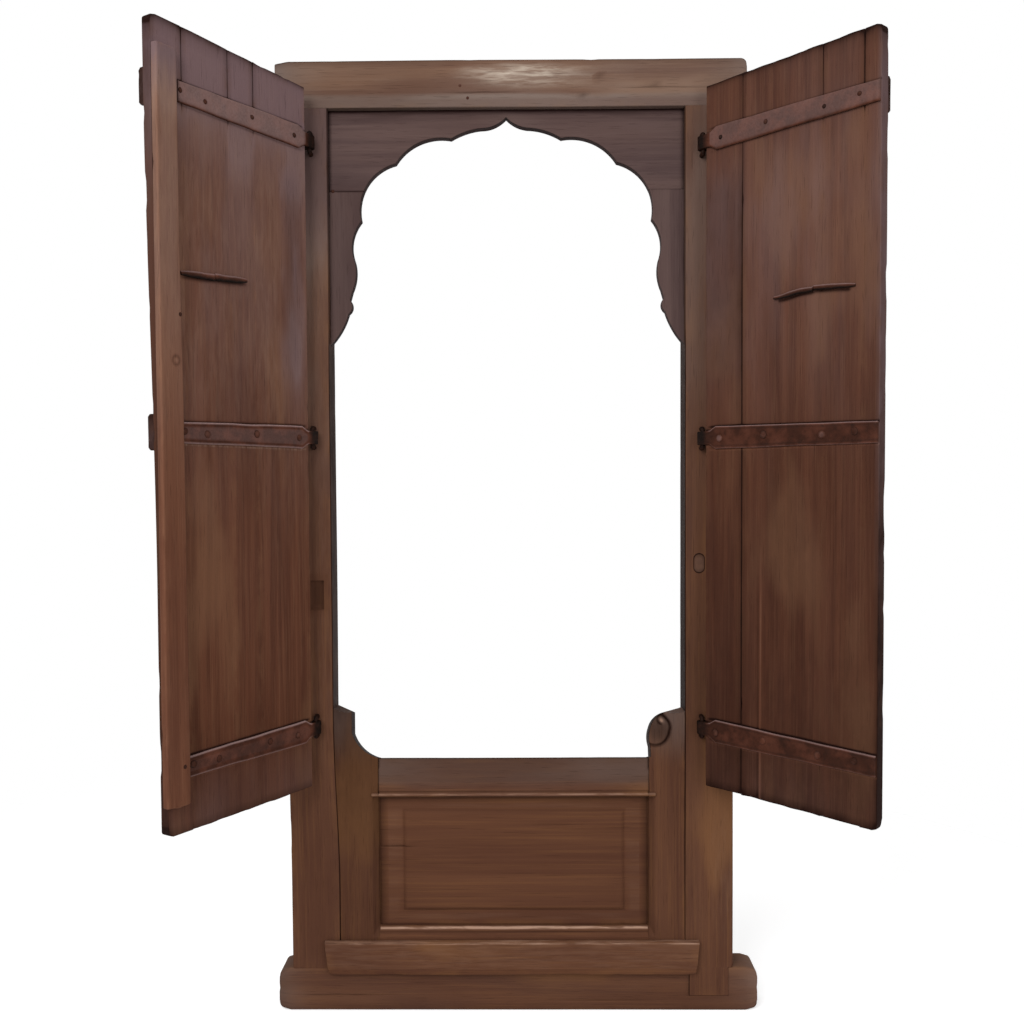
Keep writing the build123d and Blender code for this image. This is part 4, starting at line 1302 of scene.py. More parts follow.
# How dark the seam after each plank is, below the top strap and above it; a weak one below is closed there
SEAM_STRENGTH = {
    "left": {1: (0.1, 0.9), 2: (0.08, 0.9), 3: (0.12, 0.9)},
    "right": {1: (0.8, 0.7), 2: (0.1, 0.7), 3: (0.1, 0.9)},
}
SEAM_WEAK = 0.5
SEAM_CLOSE = 1.2 * MM
HINGE_REACH = {"left": 6 * MM, "right": 12 * MM}
FOOT_TAPER = {"left": 12 * MM, "right": 0.0}
RAGGED_TOP = {"left": 0.8 * MM, "right": 1.8 * MM}
RAGGED_FOOT = 1.8 * MM
FREE_ROUND = 9 * MM
# How much darker the free edge is at the foot, and how much less at the head
FREE_EDGE_DARK = {"left": (0.6, 0.0), "right": (0.5, 0.2)}
PALE_LINE = 0.25
BATTEN_TRIM = {"low": 0.0, "middle": 11 * MM, "top": 4 * MM}
BATTEN_BEVEL = 5 * MM
STRIP_TAPER = 7 * MM
STRIP_FRAY = 4 * MM
# Place of the knot across the strip, and its height
STRIP_KNOT = (16 * MM, 1.281)
# Height and value up each leaf
LEAF_TONE = {
    "left": ((0.47, -0.26), (0.58, -0.19), (0.7, -0.04), (1.1, 0.04), (1.3, 0.1), (1.6, 0.1), (1.75, 0.02)),
    "right": ((0.47, -0.6), (0.58, -0.54), (0.8, -0.4), (1.1, -0.34), (1.25, -0.24), (1.4, -0.17),
              (1.6, -0.12), (1.7, -0.16), (1.75, -0.2)),
}
LEAF_PATINA = {
    "left": ((0.47, 0.3), (0.6, 0.0), (1.0, 0.05), (1.3, 0.18), (1.6, 0.4), (1.68, 0.9), (1.76, 1.7)),
    "right": ((0.47, 0.2), (0.6, 0.04), (1.1, 0.05), (1.3, 0.2), (1.6, 0.38), (1.72, 0.26), (1.78, 0.16)),
}
# How dark the painted shadow line over a strap is, and how pale the painted highlight line under it, which is
# painted shade where it is below 0
STRAP_SHADING = {"low": (0.85, 0.3), "middle": (0.85, 0.3)}
TOP_STRAP_SHADING = {"left": (0.85, -0.3), "right": (0.45, -0.1)}


def graded(steps, z):
    """Value at a height, straight between the steps' heights and values."""
    return np.interp(z, *np.transpose(steps))


def strap_half(reach, end, root):
    """Half height of a strap at a distance from the pin: narrow eye, full root, then tapered."""
    eye, tip = 13 * MM, 18 * MM
    return np.interp(reach, [0, 24 * MM, 38 * MM, end], [eye, eye, root, tip])


def pin_rise(side, way, share):
    """Rise of a split pin's leg at a share of its length: each leg droops or lifts in its own way."""
    if side == "left":
        rise = np.where(way < 0, 4.5 * share ** 1.6, -1.0 - 3.0 * share ** 0.7)
    else:
        rise = np.where(way < 0, -5.5 * smooth(0.25, 0.85, share) - 1.5, 1.0 - 6.0 * share)
    return rise * MM


class WINDOW_OT_leaf_timbers(bpy.types.Operator):
    """Planks, battens and cover strip of both leaves"""
    bl_idname = "window.leaf_timbers"
    bl_label = "Leaf timbers"

    def execute(self, context):
        for side in SIDES:
            for number in range(1, PLANKS + 1):
                self.make_plank(side, number)
            for number, place in enumerate(STRAP_PLACES):
                self.make_batten(side, place, BATTEN_SEEDS[side] + number)
        self.make_strip()
        return {"FINISHED"}

    def strap_shading(self, side, rest):
        """Painted light round the straps: a painted shadow line over each, and one under it, a painted
        highlight under the lower two and painted shade under the top one.
        """
        total = zeros(rest)
        for place in STRAP_PLACES:
            low, high = node_box(f"{side}_leaf_{place}_strap")
            dark, pale = STRAP_SHADING.get(place, TOP_STRAP_SHADING[side])
            half = strap_half(rest[:, X], high[X], (high[Z] - low[Z]) / 2)
            off = rest[:, Z] - (low[Z] + high[Z]) / 2
            reach = rest[:, X] < high[X] + 2 * MM
            total -= dark * peak(off, half + 1 * MM, 2.2 * MM) * reach
            total += pale * peak(off, -half - 2.2 * MM, 1.8 * MM) * reach
        return total

    def pin_shadow(self, side, rest):
        """Painted shadow under the legs of the split pin."""
        low, high = node_box(f"{side}_leaf_split_pin")
        share = (rest[:, X] - (low[X] + high[X]) / 2) / ((high[X] - low[X]) / 2)
        under = (low[Z] + high[Z]) / 2 + pin_rise(side, np.sign(share), np.abs(share)) - 6 * MM
        return 0.8 * peak(rest[:, Z], under, 3 * MM) * (np.abs(share) < 0.97)

    def strap_rows(self, side):
        """Cut lines that the painted light round the straps and the painted shadow under the pin need."""
        off = np.array([12, 14, 16.5, 18, 19, 20, 21, 22, 23, 24, 25.5, 28]) * MM
        rows = [height_of(f"{side}_leaf_split_pin") + np.arange(-20, 8, 2.2) * MM]
        for place in STRAP_PLACES:
            middle = height_of(f"{side}_leaf_{place}_strap")
            rows += [middle + off, middle - off]
        return np.concatenate(rows)

    def haze_band(self, z, start=(1.15, 1.35), stop=(1.62, 1.7)):
        """Share of the grey band under the top straps."""
        return smooth(*start, z) * (1 - smooth(*stop, z))

    def hinge_haze(self, rest, edge):
        """Share of the violet stripe that runs down the left leaf beside its hinge edge."""
        return self.haze_band(rest[:, Z]) * peak(rest[:, X], edge + 38 * MM, 24 * MM)

    def make_plank(self, side, number):
        """Plank: an upright block cupped across and a little out of line, ragged at both ends.

        A seam is dark over the top strap and, where it has stayed open, all the way down."""
        node = f"{side}_leaf_plank_{number}"
        low, high = node_box(node)
        hinge_edge, first = node_box(f"{side}_leaf_plank_1")
        last = node_box(f"{side}_leaf_plank_{PLANKS}")[1]
        top_strap = node_box(f"{side}_leaf_top_strap")[0][Z]
        head_slope = (last[Z] - first[Z]) / (last[X] - first[X])
        middle, half = (low[X] + high[X]) / 2, (high[X] - low[X]) / 2
        pale_line = low[X] + PALE_LINE * (high[X] - low[X])
        by_hinge, by_free, has_line = number == 1, number == PLANKS, (side, number) == ("right", 2)
        seams = SEAM_STRENGTH[side]
        seed = PLANK_SEEDS[side] + 10 * number
        random = np.random.default_rng(seed)
        shift, cup = random.uniform(-0.4, 0.4, 2) * MM
        own = random.uniform(-0.025, 0.025)
        split = middle + random.uniform(-0.5, 0.5) * half

        def shape(points, rest):
            x, z = rest[:, X], rest[:, Z]
            across = (x - middle) / half
            if by_hinge:
                points[:, X] -= HINGE_REACH[side] * (1 - across) / 2
            if by_free:
                points[:, X] -= FOOT_TAPER[side] * (1 - smooth(0.9, 1.75, z)) * (1 + across) / 2
            closed = 1 - smooth(top_strap - 30 * MM, top_strap, z)
            for seam, way in ((number - 1, -1), (number, 1)):
                if seam in seams and seams[seam][0] < SEAM_WEAK:
                    points[:, X] += way * SEAM_CLOSE * closed * smooth(0.8, 1.0, way * across)
            points[:, Y] += shift * 0.6 + cup * (across ** 2 - 0.5)
            top = smooth(high[Z] - 60 * MM, high[Z], z)
            foot = 1 - smooth(low[Z], low[Z] + 60 * MM, z)
            sawn = (x - high[X]) * head_slope
            points[:, Z] += top * (sawn - RAGGED_TOP[side] * (1 + line_drift(x, 0.026, seed + 5)))
            points[:, Z] += foot * RAGGED_FOOT * (1 + line_drift(x, 0.022, seed + 6))
            if by_free:
                worn = FREE_ROUND * quarter(np.clip(1 - (high[X] - x) / FREE_ROUND, 0, 1))
                points[:, Z] -= worn * smooth(high[Z] - 25 * MM, high[Z], z)
                points[:, Z] += worn * (1 - smooth(low[Z], low[Z] + 25 * MM, z))
            return points

        def tone(rest):
            x, z = rest[:, X], rest[:, Z]
            visible = rest[:, Y] > high[Y] - 1 * MM
            # Painted shadow and highlight lines round the straps, less the painted shadow under the pin
            marks = (self.strap_shading(side, rest) - self.pin_shadow(side, rest)) * visible
            ends = 0.5 * fade(z - low[Z], 6 * MM) + fade(high[Z] - z, (3 + 2 * number) * MM)
            total = own + graded(LEAF_TONE[side], z) + marks - ends
            over = smooth(top_strap - 10 * MM, top_strap + 10 * MM, z)
            for seam, edge in ((number - 1, low[X]), (number, high[X])):
                below, above = seams.get(seam, (0, 0))
                total -= (below + (above - below) * over) * fade(np.abs(x - edge), 1.8 * MM)
            # The free edge darker, more so at the foot
            if by_free:
                darkening, less = FREE_EDGE_DARK[side]
                total -= (darkening - less * smooth(0.9, 1.3, z)) * fade(high[X] - x, 2.5 * MM)
            if has_line:
                line = 0.55 * peak(x, pale_line, 2 * MM) - 0.2 * peak(x, pale_line - 5 * MM, 2.5 * MM)
                total += (1 - smooth(0.8, 0.98, z)) * line
            if by_hinge:
                dull = self.haze_band(z, (1.15, 1.4), (1.6, 1.68))
                total -= 0.3 * (self.hinge_haze(rest, low[X]) if side == "left" else dull)
            return total

        def patina(rest):
            x, z = rest[:, X], rest[:, Z]
            grey = graded(LEAF_PATINA[side], z)
            if by_free and side == "right":
                grey = np.maximum(grey, 1.5 * smooth(high[X] - 4 * MM, high[X], x) * smooth(0.6, 1.3, z))
            if by_hinge:
                stripe = 1.8 * self.hinge_haze(rest, low[X]) if side == "left" else 0.3 * self.haze_band(z)
                grey = grey + (0.45 + 0.4 * drift(rest, (0.02, 1, 0.09), seed + 9)) * stripe
            return grey

        cracks = [crack(X, split, high[Z] - 0.5, high[Z] + 0.1, 1.3 * MM, 4 * MM)]
        rows = {Z: np.append(self.strap_rows(side), high[Z] - np.array([3, 6, 10, 14]) * MM)}
        if has_line:
            rows[X] = pale_line + np.arange(-10, 5, 1.5) * MM
        timber(node, Z, "leaf_timber", seed, 1.3 * MM, shape=shape, extra=rows, cracks=cracks, tone=tone,
               patina=patina, whole=(hinge_edge, last, PLANK_SEEDS[side] + 30))

    def make_batten(self, side, place, seed):
        """Batten: a level block across the hidden face, bevelled along its outer edges."""
        node = f"{side}_leaf_{place}_batten"
        low, high = node_box(node)

        def by_free(rest):
            return smooth(high[X] - 90 * MM, high[X] - 22 * MM, rest[:, X])

        def shape(points, rest):
            out = (high[Y] - rest[:, Y]) / (high[Y] - low[Y])
            rim = np.clip(1 - room(rest, low, high, Z) / BATTEN_BEVEL, 0, 1)
            points[:, Y] += BATTEN_BEVEL * rim * smooth(0.6, 1, out)
            points[:, X] -= BATTEN_TRIM[place] * smooth(high[X] - 80 * MM, high[X] - 20 * MM, rest[:, X])
            return points

        def tone(rest):
            return -0.85 * by_free(rest)

        def patina(rest):
            return 0.2 + 0.5 * by_free(rest)

        timber(node, X, "leaf_timber", seed, 1.3 * MM, shape=shape, tone=tone, patina=patina,
               extra={Z: [low[Z] + BATTEN_BEVEL, high[Z] - BATTEN_BEVEL]})

    def make_strip(self):
        """Cover strip: an upright block with a softened front, frayed along its lower end."""
        low, high = node_box("left_leaf_astragal")
        knot_x, knot_z = low[X] + STRIP_KNOT[0], STRIP_KNOT[1]

        def shape(points, rest):
            foot = 1 - smooth(low[Z], low[Z] + 40 * MM, rest[:, Z])
            points[:, Z] += foot * STRIP_FRAY * (1 + line_drift(rest[:, X], 0.013, 7))
            inner = (high[X] - rest[:, X]) / (high[X] - low[X])
            points[:, X] += STRIP_TAPER * inner * smooth(0.8, high[Z], rest[:, Z])
            return points

        def tone(rest):
            head = smooth(high[Z] - 0.05, high[Z], rest[:, Z])
            off = np.hypot(rest[:, X] - knot_x, rest[:, Z] - knot_z)
            ring = 0.15 * peak(off, 0, 4 * MM) - 0.45 * peak(off, 7.5 * MM, 2.5 * MM)
            seam = fade(rest[:, X] - low[X], 2 * MM)
            return 0.1 * smooth(1.0, 1.5, rest[:, Z]) - 0.3 * seam - 0.1 * head + ring

        def patina(rest):
            head = smooth(high[Z] - 0.14, high[Z], rest[:, Z])
            return 0.03 + 0.45 * smooth(0.95, 1.6, rest[:, Z]) + 1.5 * head

        close = np.arange(-12, 13, 2.4) * MM
        timber("left_leaf_astragal", Z, "strip_timber", 601, 3.2 * MM, shape=shape, tone=tone, patina=patina,
               extra={X: knot_x + close, Z: knot_z + close})


# Ironwork

STRAP_TONE = {
    "left": {"low": 0.04, "middle": 0.14, "top": 0.44},
    "right": {"low": -0.24, "middle": -0.22, "top": 0.2},
}
STRAP_SEEDS = {"left": 740, "right": 780}
STRAP_THICK = 5 * MM
STRAP_STATIONS = 60
EYE_STATIONS = 33
EYE_TURN = math.radians(292)
STAPLE_HALF = 19 * MM
STAPLE_BEND = 5 * MM
STAPLE_INSET = 5 * MM
STAPLE_GIRTH = 4.8 * MM
PIN_GIRTH = {"left": 6.2 * MM, "right": 4.8 * MM}
PIN_LONGER = {"left": 0.0, "right": 8 * MM}
PIN_EYE = 9 * MM
RING_GIRTH = 3.4 * MM
RING_STATIONS = 72
BAR_SIDES = 12


def iron(node, points, quads, edge, tone, caps=None):
    """A piece of forged iron that stands for a CAD node."""
    values = {"edge": edge + zeros(points), "tone": tone + zeros(points)}
    return dress(add_mesh(f"{node}_iron", points, quads, body_of(node), caps, values), "forged_iron", node)


def joined(tubes):
    """Points, quads and caps of several tubes as one."""
    starts = np.cumsum([0] + [len(points) for points, _, _ in tubes[:-1]])
    quads, caps = (np.concatenate([tube[part] + start for tube, start in zip(tubes, starts)])
                   for part in (1, 2))
    return np.concatenate([tube[0] for tube in tubes]), quads, caps


class WINDOW_OT_ironwork(bpy.types.Operator):
    """Straps with rolled eyes, staples, split pins and ring pulls"""
    bl_idname = "window.ironwork"
    bl_label = "Ironwork"

    def execute(self, context):
        hammer = context.scene.window_wear.hammer
        for side in SIDES:
            for place in STRAP_PLACES:
                self.make_strap(side, place, hammer)
            self.make_staples(side)
            self.make_pin(side)
            self.make_ring(side)
        return {"FINISHED"}

    def make_strap(self, side, place, hammer):
        """Strap: a flat bar carried along a line that runs in from the far end and rolls once round the pin.

        The bar's height follows the tapered outline; its thickness lies square to the line."""
        node = f"{side}_leaf_{place}_strap"
        low, high = node_box(node)
        seed = STRAP_SEEDS[side] + len(place)
        roll = high[Y] - STRAP_THICK / 2
        plate = np.linspace(high[X], 0, STRAP_STATIONS)
        turn = np.linspace(0, EYE_TURN, EYE_STATIONS + 1)[1:]
        eye = np.stack([-np.sin(turn), np.cos(turn)], 1)
        line = np.concatenate([np.stack([plate, np.full(STRAP_STATIONS, roll)], 1), roll * eye])
        normal = np.concatenate([np.tile([0.0, 1.0], (STRAP_STATIONS, 1)), eye])
        reach = np.append(plate, np.zeros(EYE_STATIONS))
        half = strap_half(reach, high[X], (high[Z] - low[Z]) / 2)
        close = [way * share for way in (-1, 1) for share in (0.62, 0.7, 0.78, 0.86)]
        rest, quads = block_skin([np.arange(len(line), dtype=float),
                                  cut_lines(-STRAP_THICK / 2, STRAP_THICK / 2, 3 * MM, 1.1 * MM),
                                  cut_lines(-1.0, 1.0, 0.22, 0.06, close)])
        station, up = rest[:, 0].astype(int), rest[:, 2]
        thinned = 1 - 0.45 * (1 - np.clip((1 - np.abs(up)) / 0.12, 0, 1)) ** 2
        flat = line[station] + normal[station] * (rest[:, 1] * thinned)[:, None]
        spot = np.stack([flat[:, 0], flat[:, 1], (low[Z] + high[Z]) / 2 + up * half[station]], 1)
        points = spot.copy()
        dents = 0.8 * drift(spot, [0.03] * 3, seed) + 0.5 * drift(spot, [0.011] * 3, seed + 1)
        points[:, Y] += hammer * dents
        points[:, Z] += 1.6 * hammer * drift(spot, [0.05] * 3, seed + 2) * np.clip(spot[:, X] / 0.05, 0, 1)
        on_leaf = spot[:, X] > 30 * MM
        points[on_leaf, Y] = np.minimum(points[on_leaf, Y], high[Y] + 0.9 * MM)
        rim = (1 - np.abs(up)) * half[station]
        if place == "top":
            light = -0.6 * fade((1 + up) * half[station], 2.2 * MM)
        else:
            light = np.where(up > 0, 0.75, 0.4) * peak(rim, 0, 2.4 * MM) - 0.3 * peak(rim, 5 * MM, 2 * MM)
        # Painted shade over the rolled eye round the pin, where the rubbed edges fade out as well
        eye_shade = 1 - smooth(8 * MM, 26 * MM, spot[:, X])
        tone = (STRAP_TONE[side][place] + light) * (1 - eye_shade) - 0.95 * eye_shade
        iron(node, points, quads[:, ::-1], 0.5 * fade(rim, 3.2 * MM) * (1 - eye_shade), tone)

    def make_staples(self, side):
        """Staples: three bars, each a tube along a bent line out of the post, round the eye and back."""
        node = f"{side}_hinge_staples"
        low, high = node_box(node)
        reach = low[Y] + STAPLE_INSET
        turn = np.linspace(0, math.pi / 2, 8)
        corner = np.stack([reach + STAPLE_BEND * (1 - np.sin(turn)),
                           STAPLE_HALF - STAPLE_BEND * (1 - np.cos(turn))], 1)
        leg = np.linspace((high[Y], STAPLE_HALF), (reach + STAPLE_BEND, STAPLE_HALF), 9)
        upper = np.concatenate([leg, corner[1:], np.linspace(corner[-1], (reach, 0), 6)[1:]])
        profile = np.concatenate([upper, upper[-2::-1] * (1, -1)])
        across = np.full(len(profile), (low[X] + high[X]) / 2)
        tubes = []
        for number, place in enumerate(STRAP_PLACES):
            up = height_of(f"{side}_leaf_{place}_strap") + profile[:, 1]
            path = np.stack([across, profile[:, 0], up], 1)
            girth = STAPLE_GIRTH * (1 + 0.06 * drift(path, [0.02] * 3, 800 + number))
            tubes.append(tube_skin(path, girth, BAR_SIDES, up=(1, 0, 0)))
        points, quads, caps = joined(tubes)
        iron(node, points, quads, 0.0, -0.85, caps)

    def make_pin(self, side):
        """Split pin: two flattened legs bent along the visible face, a shank, and an eye on the hidden face.

        The legs are tubes along wavering level lines, with a painted highlight on top and painted shade
        under; the eye is a tube along a circle."""
        node = f"{side}_leaf_split_pin"
        low, high = node_box(node)
        middle = (low[X] + high[X]) / 2
        height = (low[Z] + high[Z]) / 2
        leg = (high[X] - low[X]) / 2 + PIN_LONGER[side]
        face = high[Y] - 2 * MM
        hidden = low[Y] + 13 * MM
        share = np.linspace(0.01, 0.985, 30)
        tubes = []
        for way in (-1, 1):
            lift = (2.2 + 1.6 * np.sin(math.pi * share) + (1.0 if way < 0 else 0)) * MM
            rise = pin_rise(side, way, share)
            path = np.stack([middle + way * share * leg, face - 2 * MM + lift, height + rise], 1)
            uneven = 1 + 0.08 * drift(path, [0.014] * 3, 900 + way)
            girth = PIN_GIRTH[side] * (1 - 0.5 * share ** 4) * uneven
            tubes.append(tube_skin(path, girth, 14, flat=0.6))
        shank = np.linspace((middle, face + 1 * MM, height), (middle, hidden + 8.6 * MM, height), 10)
        tubes.append(tube_skin(shank, 4 * MM, BAR_SIDES))
        turn = np.linspace(math.radians(90 + 12), math.radians(90 + 348), 40)
        loop = np.stack([middle + 0 * turn, hidden + PIN_EYE * np.sin(turn), height + PIN_EYE * np.cos(turn)],
                        1)
        tubes.append(tube_skin(loop, 3.8 * MM, BAR_SIDES, up=(1, 0, 0)))
        points, quads, caps = joined(tubes)
        # Painted highlight along the top of each bar and painted shade along its underside
        iron(node, points, quads, 0.2, -0.32 + np.concatenate([self.up_share(tube) for tube in tubes]), caps)

    def up_share(self, tube):
        """How far up each point of a tube lies in its own ring, from -1 at its foot to 1 at its top."""
        points, _, caps = tube
        rings = points[:-2, Z].reshape(-1, len(caps) // 2)
        rise = rings - rings.mean(1, keepdims=True)
        share = rise / np.maximum(np.abs(rise).max(1, keepdims=True), ON_FACE)
        return np.append(share, [0, 0])

    def make_ring(self, side):
        """Ring pull: a tube along a closed circle in the pin's eye, thicker where it is worn least."""
        node = f"{side}_leaf_ring_pull"
        low, high = node_box(node)
        middle = (low + high) / 2
        radius = (high[X] - low[X]) / 2 - 3.6 * MM
        turn = np.linspace(0, 2 * math.pi, RING_STATIONS, endpoint=False)[:, None]
        around = np.linspace(0, 2 * math.pi, BAR_SIDES, endpoint=False)
        girth = RING_GIRTH * (1 + 0.08 * np.cos(turn + math.pi / 2))
        out = radius + girth * np.cos(around)
        points = np.stack([middle[X] + out * np.cos(turn), middle[Y] + girth * np.sin(around),
                           middle[Z] + out * np.sin(turn)], -1).reshape(-1, 3)
        ids = np.arange(len(points)).reshape(RING_STATIONS, BAR_SIDES)
        iron(node, points, ring_quads(np.concatenate([ids, ids[:1]]), True), 0.3, -0.2)


# Nails

# Millimetres along each strap from where its nails start
STRAP_NAILS = {
    "left": {"low": (37, 111, 236, 294), "middle": (24, 134, 252, 302), "top": (28, 136, 246, 300)},
    "right": {"low": (17, 126, 244, 316), "middle": (25, 126, 249, 313), "top": (26, 128, 250, 318)},
}
NAIL_START = 24 * MM
NAIL_RISE = (-1.5 * MM, 2.5 * MM)
STRIP_NAILS = ((8 * MM, 1.359), (13 * MM, 0.588))
HEADER_NAILS = ((-0.09, 1.85), (-0.075, 1.826))
ARCH_NAIL = -0.345
SMALL_NAIL = 6 * MM
TOP_STRAP_NAIL = 0.62
BATTEN_NAIL = 0.7
BATTEN_NAILS = 3
BATTEN_START = 45
# Rings of a nail's head from crown to rim: degrees from the crown, edge wear and tone, the dark rim being
# painted shade
HEAD_RINGS = ((0.5, 0.6, 0.1), (25, 0.5, 0.1), (48, 0.4, 0.0), (70, 0.3, -0.2), (90, 0.0, -0.8))
# Rise of the crown, then radius and rise of the foot, as shares of the head's radius
HEAD_RISE = 0.5
HEAD_FOOT = (0.96, -0.22)
# Tone of the head's sunk foot, painted shade under the head
FOOT_TONE = -0.9


class WINDOW_OT_nails(bpy.types.Operator):
    """Nail heads on straps, battens, strip and frame"""
    bl_idname = "window.nails"
    bl_label = "Nails"

    def execute(self, context):
        fixings = context.scene.window_fixings
        for side in SIDES:
            heads = self.strap_heads(side, fixings.strap_nail)
            if side == "left":
                low, high = node_box("left_leaf_astragal")
                heads += [((low[X] + x, high[Y] - 0.5 * MM, z), 1, fixings.small_nail)
                          for x, z in STRIP_NAILS]
            self.make_heads(f"{side}_leaf_nails", f"{side}_leaf", heads)
        front = node_box("header_beam")[0][Y]
        _, arch, seam = node_box("arch_head_board")[0]
        spots = [(x, front, z) for x, z in HEADER_NAILS] + [(ARCH_NAIL, arch, seam)]
        heads = [((x, y + 0.5 * MM, z), -1, fixings.small_nail) for x, y, z in spots]
        self.make_heads("frame_nails", "frame", heads)
        return {"FINISHED"}

    def strap_heads(self, side, radius):
        """Place, way and radius of the heads on a leaf's straps and, where nails go through, its battens."""
        heads = []
        for place, nails in STRAP_NAILS[side].items():
            front = node_box(f"{side}_leaf_{place}_strap")[1][Y] - 0.4 * MM
            back = node_box(f"{side}_leaf_{place}_batten")[0][Y] + 0.6 * MM
            middle = height_of(f"{side}_leaf_{place}_strap")
            for number, along in enumerate(nails):
                x, z = NAIL_START + along * MM, middle + NAIL_RISE[number % 2]
                heads.append(((x, front, z), 1, radius * (TOP_STRAP_NAIL if place == "top" else 1)))
                if number < BATTEN_NAILS and along > BATTEN_START:
                    heads.append(((x, back, z), -1, radius * BATTEN_NAIL))
        return heads

    def make_heads(self, name, body, heads):
        """Domed heads: a low dome turned about each nail's axis, as rings round it, all in one mesh.

        A ring's radius is the head's times the sine, and its rise the cosine, of its angle from the crown."""
        angle, edge, tone = np.transpose(HEAD_RINGS)
        size = np.append(np.sin(np.radians(angle)), HEAD_FOOT[0])[:, None]
        rise = np.append(HEAD_RISE * np.cos(np.radians(angle)), HEAD_FOOT[1])[:, None]
        turn = np.linspace(0, 2 * math.pi, BAR_SIDES, endpoint=False)
        rings = np.stack([size * np.cos(turn), rise + 0 * turn, size * np.sin(turn)], -1)
        dome = np.concatenate([rings.reshape(-1, 3), [[0, HEAD_RISE, 0], [0, HEAD_FOOT[1], 0]]])
        ids = np.arange(rings[..., 0].size).reshape(-1, BAR_SIDES)
        ends = np.concatenate([fan(ids[0], ids.size, True), fan(ids[-1], ids.size + 1)])
        spots, ways, radii = (np.array(part, float) for part in zip(*heads))
        random = np.random.default_rng(1200 + len(name))
        squash = random.uniform(0.85, 1.1, (len(heads), 3)) * radii[:, None]
        squash[ways < 0] *= (-1, -1, 1)
        points = (dome * squash[:, None] + spots[:, None]).reshape(-1, 3)
        starts = len(dome) * np.arange(len(heads))[:, None, None]
        faces = (ring_quads(ids)[:, ::-1] + starts).reshape(-1, 4)
        caps = (ends[:, ::-1] + starts).reshape(-1, 3)
        edge = np.append(np.repeat(np.append(edge, 0), BAR_SIDES), [edge[0], 0])
        tone = np.append(np.repeat(np.append(tone, FOOT_TONE), BAR_SIDES), [tone[0], FOOT_TONE])
        darkening = random.uniform(-0.2, 0.5, len(heads)) + 0.5 * (radii < SMALL_NAIL)
        values = {"edge": np.tile(edge, len(heads)),
                  "tone": np.tile(tone, len(heads)) - np.repeat(darkening, len(dome))}
        dress(add_mesh(name, points, faces, body, caps, values), "forged_iron")


# Stage

FLOOR_DROP = 0.6 * MM
FLOOR_SIDES = 64
FLOOR_FADE = (0.75, 2.2)
LAMPS = {
    "key": {"place": (-1.5, -2.9, 2.7), "target": (0, 0, 1.0), "size": 2.2},
    "fill": {"place": (2.3, -2.6, 1.5), "target": (0, 0, 0.9), "size": 2.4},
}
SENSOR_WIDTH = 36
WHITE = (1, 1, 1, 1)
PAPER = (0.9, 0.9, 0.9, 1)


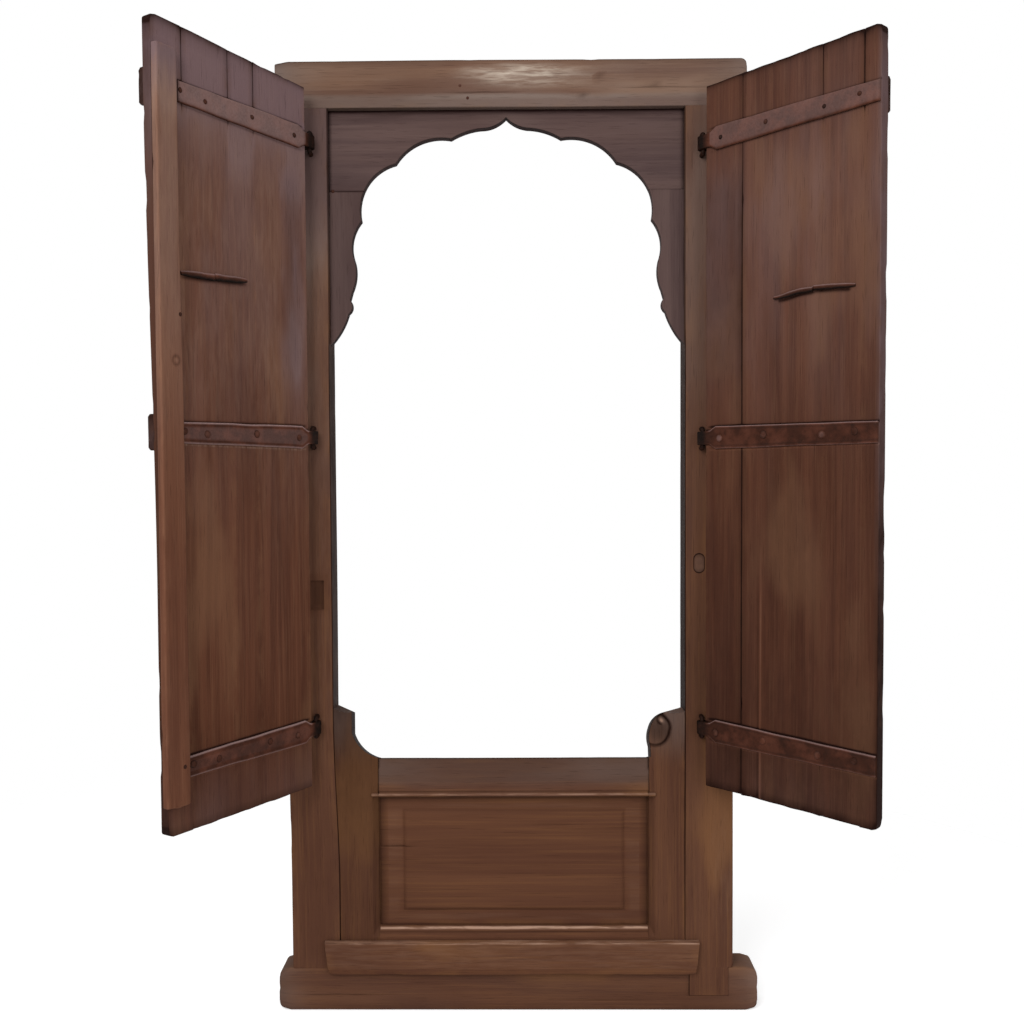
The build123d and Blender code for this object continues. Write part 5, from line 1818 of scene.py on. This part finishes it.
class WINDOW_OT_stage(bpy.types.Operator):
    """Floor, light, world and camera"""
    bl_idname = "window.stage"
    bl_label = "Stage"

    def execute(self, context):
        scene = context.scene
        stage = scene.window_stage
        scene.view_settings.view_transform = "Standard"
        self.make_floor()
        self.make_world(scene, stage)
        self.make_lamp("key_light", power=stage.key_power, **LAMPS["key"])
        self.make_lamp("fill_light", power=stage.fill_power, **LAMPS["fill"])
        self.make_camera(scene, stage)
        return {"FINISHED"}

    def make_floor(self):
        """Floor: a round sheet in rings about the object, that fades out into the white all round."""
        rings = np.append(1 * MM, np.linspace(0.3, 6.0, 20))[:, None]
        turn = np.linspace(0, 2 * math.pi, FLOOR_SIDES, endpoint=False)
        points = np.stack([rings * np.cos(turn), rings * np.sin(turn), 0 * rings * turn - FLOOR_DROP], -1)
        ids = np.arange(rings.size * FLOOR_SIDES).reshape(-1, FLOOR_SIDES)
        mesh = bpy.data.meshes.new("floor")
        mesh.from_pydata(points.reshape(-1, 3).tolist(), [], ring_quads(ids, True).tolist())
        floor = bpy.data.objects.new("floor", mesh)
        bpy.context.scene.collection.objects.link(floor)
        look = Look(bpy.data.materials.new("floor_paper"))
        place = look.add("ShaderNodeTexCoord", {}, {}, "Object")
        away = look.add("ShaderNodeVectorMath", {"operation": "LENGTH"}, {0: place}, "Value")
        paper = look.add("ShaderNodeBsdfDiffuse", {}, {"Color": PAPER})
        glow = look.add("ShaderNodeEmission", {}, {"Color": WHITE, "Strength": 0.42})
        clear = look.add("ShaderNodeBsdfTransparent", {}, {})
        lit = look.add("ShaderNodeAddShader", {}, {0: paper, 1: glow})
        near = look.add("ShaderNodeMixShader", {}, {0: look.seen(), 1: paper, 2: lit})
        sheet = look.add("ShaderNodeMixShader", {}, {0: away.between(*FLOOR_FADE), 1: near, 2: clear})
        mesh.materials.append(look.show(sheet))

    def make_world(self, scene, stage):
        """World: plain white to the camera, to gloss and through glass, an even studio level to the rest."""
        look = Look(bpy.data.worlds.new("studio"), "ShaderNodeOutputWorld")
        white, level = (look.add("ShaderNodeBackground", {}, {"Color": WHITE, "Strength": strength})
                        for strength in (1.0, stage.sky))
        scene.world = look.show(look.add("ShaderNodeMixShader", {}, {0: look.seen(), 1: level, 2: white}))

    def make_lamp(self, name, place, target, size, power):
        """A square soft light that faces its target."""
        data = bpy.data.lights.new(name, "AREA")
        data.size = size
        data.energy = power
        lamp = bpy.data.objects.new(name, data)
        lamp.location = place
        lamp.rotation_euler = (Vector(target) - Vector(place)).to_track_quat("-Z", "Y").to_euler()
        bpy.context.scene.collection.objects.link(lamp)

    def make_camera(self, scene, stage):
        """Camera where the photo was taken: rolled, tilted, then turned."""
        data = bpy.data.cameras.new("camera")
        data.lens = stage.lens
        data.sensor_width = SENSOR_WIDTH
        camera = bpy.data.objects.new("camera", data)
        tilt, turn, roll = stage.camera_turn
        spin = Matrix.Rotation(turn, 4, "Z") @ Matrix.Rotation(math.pi / 2 + tilt, 4, "X")
        camera.matrix_world = Matrix.Translation(stage.camera_place) @ spin @ Matrix.Rotation(roll, 4, "Z")
        scene.collection.objects.link(camera)
        scene.camera = camera


class WINDOW_PT_panel(bpy.types.Panel):
    """Lists the steps that dress the window"""
    bl_idname = "WINDOW_PT_panel"
    bl_label = "Arched timber window"
    bl_space_type = "VIEW_3D"
    bl_region_type = "UI"
    bl_category = "Window"

    def draw(self, context):
        for step in STEPS:
            self.layout.operator(step.bl_idname)


STEPS = (WINDOW_OT_frame_timbers, WINDOW_OT_arch_boards, WINDOW_OT_dado, WINDOW_OT_leaf_timbers,
         WINDOW_OT_ironwork, WINDOW_OT_nails, WINDOW_OT_stage)
SETTINGS = {"window_colours": WindowColours, "window_wear": WindowWear, "window_fixings": WindowFixings,
            "window_stage": WindowStage}
CLASSES = (*FINISH_GROUPS.values(), *SETTINGS.values(), *STEPS, WINDOW_PT_panel)


def register():
    for part in CLASSES:
        bpy.utils.register_class(part)
    for key, group in SETTINGS.items():
        setattr(bpy.types.Scene, key, bpy.props.PointerProperty(
            name=key.replace("_", " ").capitalize(), description=group.__doc__, type=group))


def unregister():
    for key in SETTINGS:
        delattr(bpy.types.Scene, key)
    for part in reversed(CLASSES):
        bpy.utils.unregister_class(part)


def main():
    register()
    bpy.ops.window.frame_timbers()
    bpy.ops.window.arch_boards()
    bpy.ops.window.dado()
    bpy.ops.window.leaf_timbers()
    bpy.ops.window.ironwork()
    bpy.ops.window.nails()
    bpy.ops.window.stage()


if __name__ == "__main__":
    main()
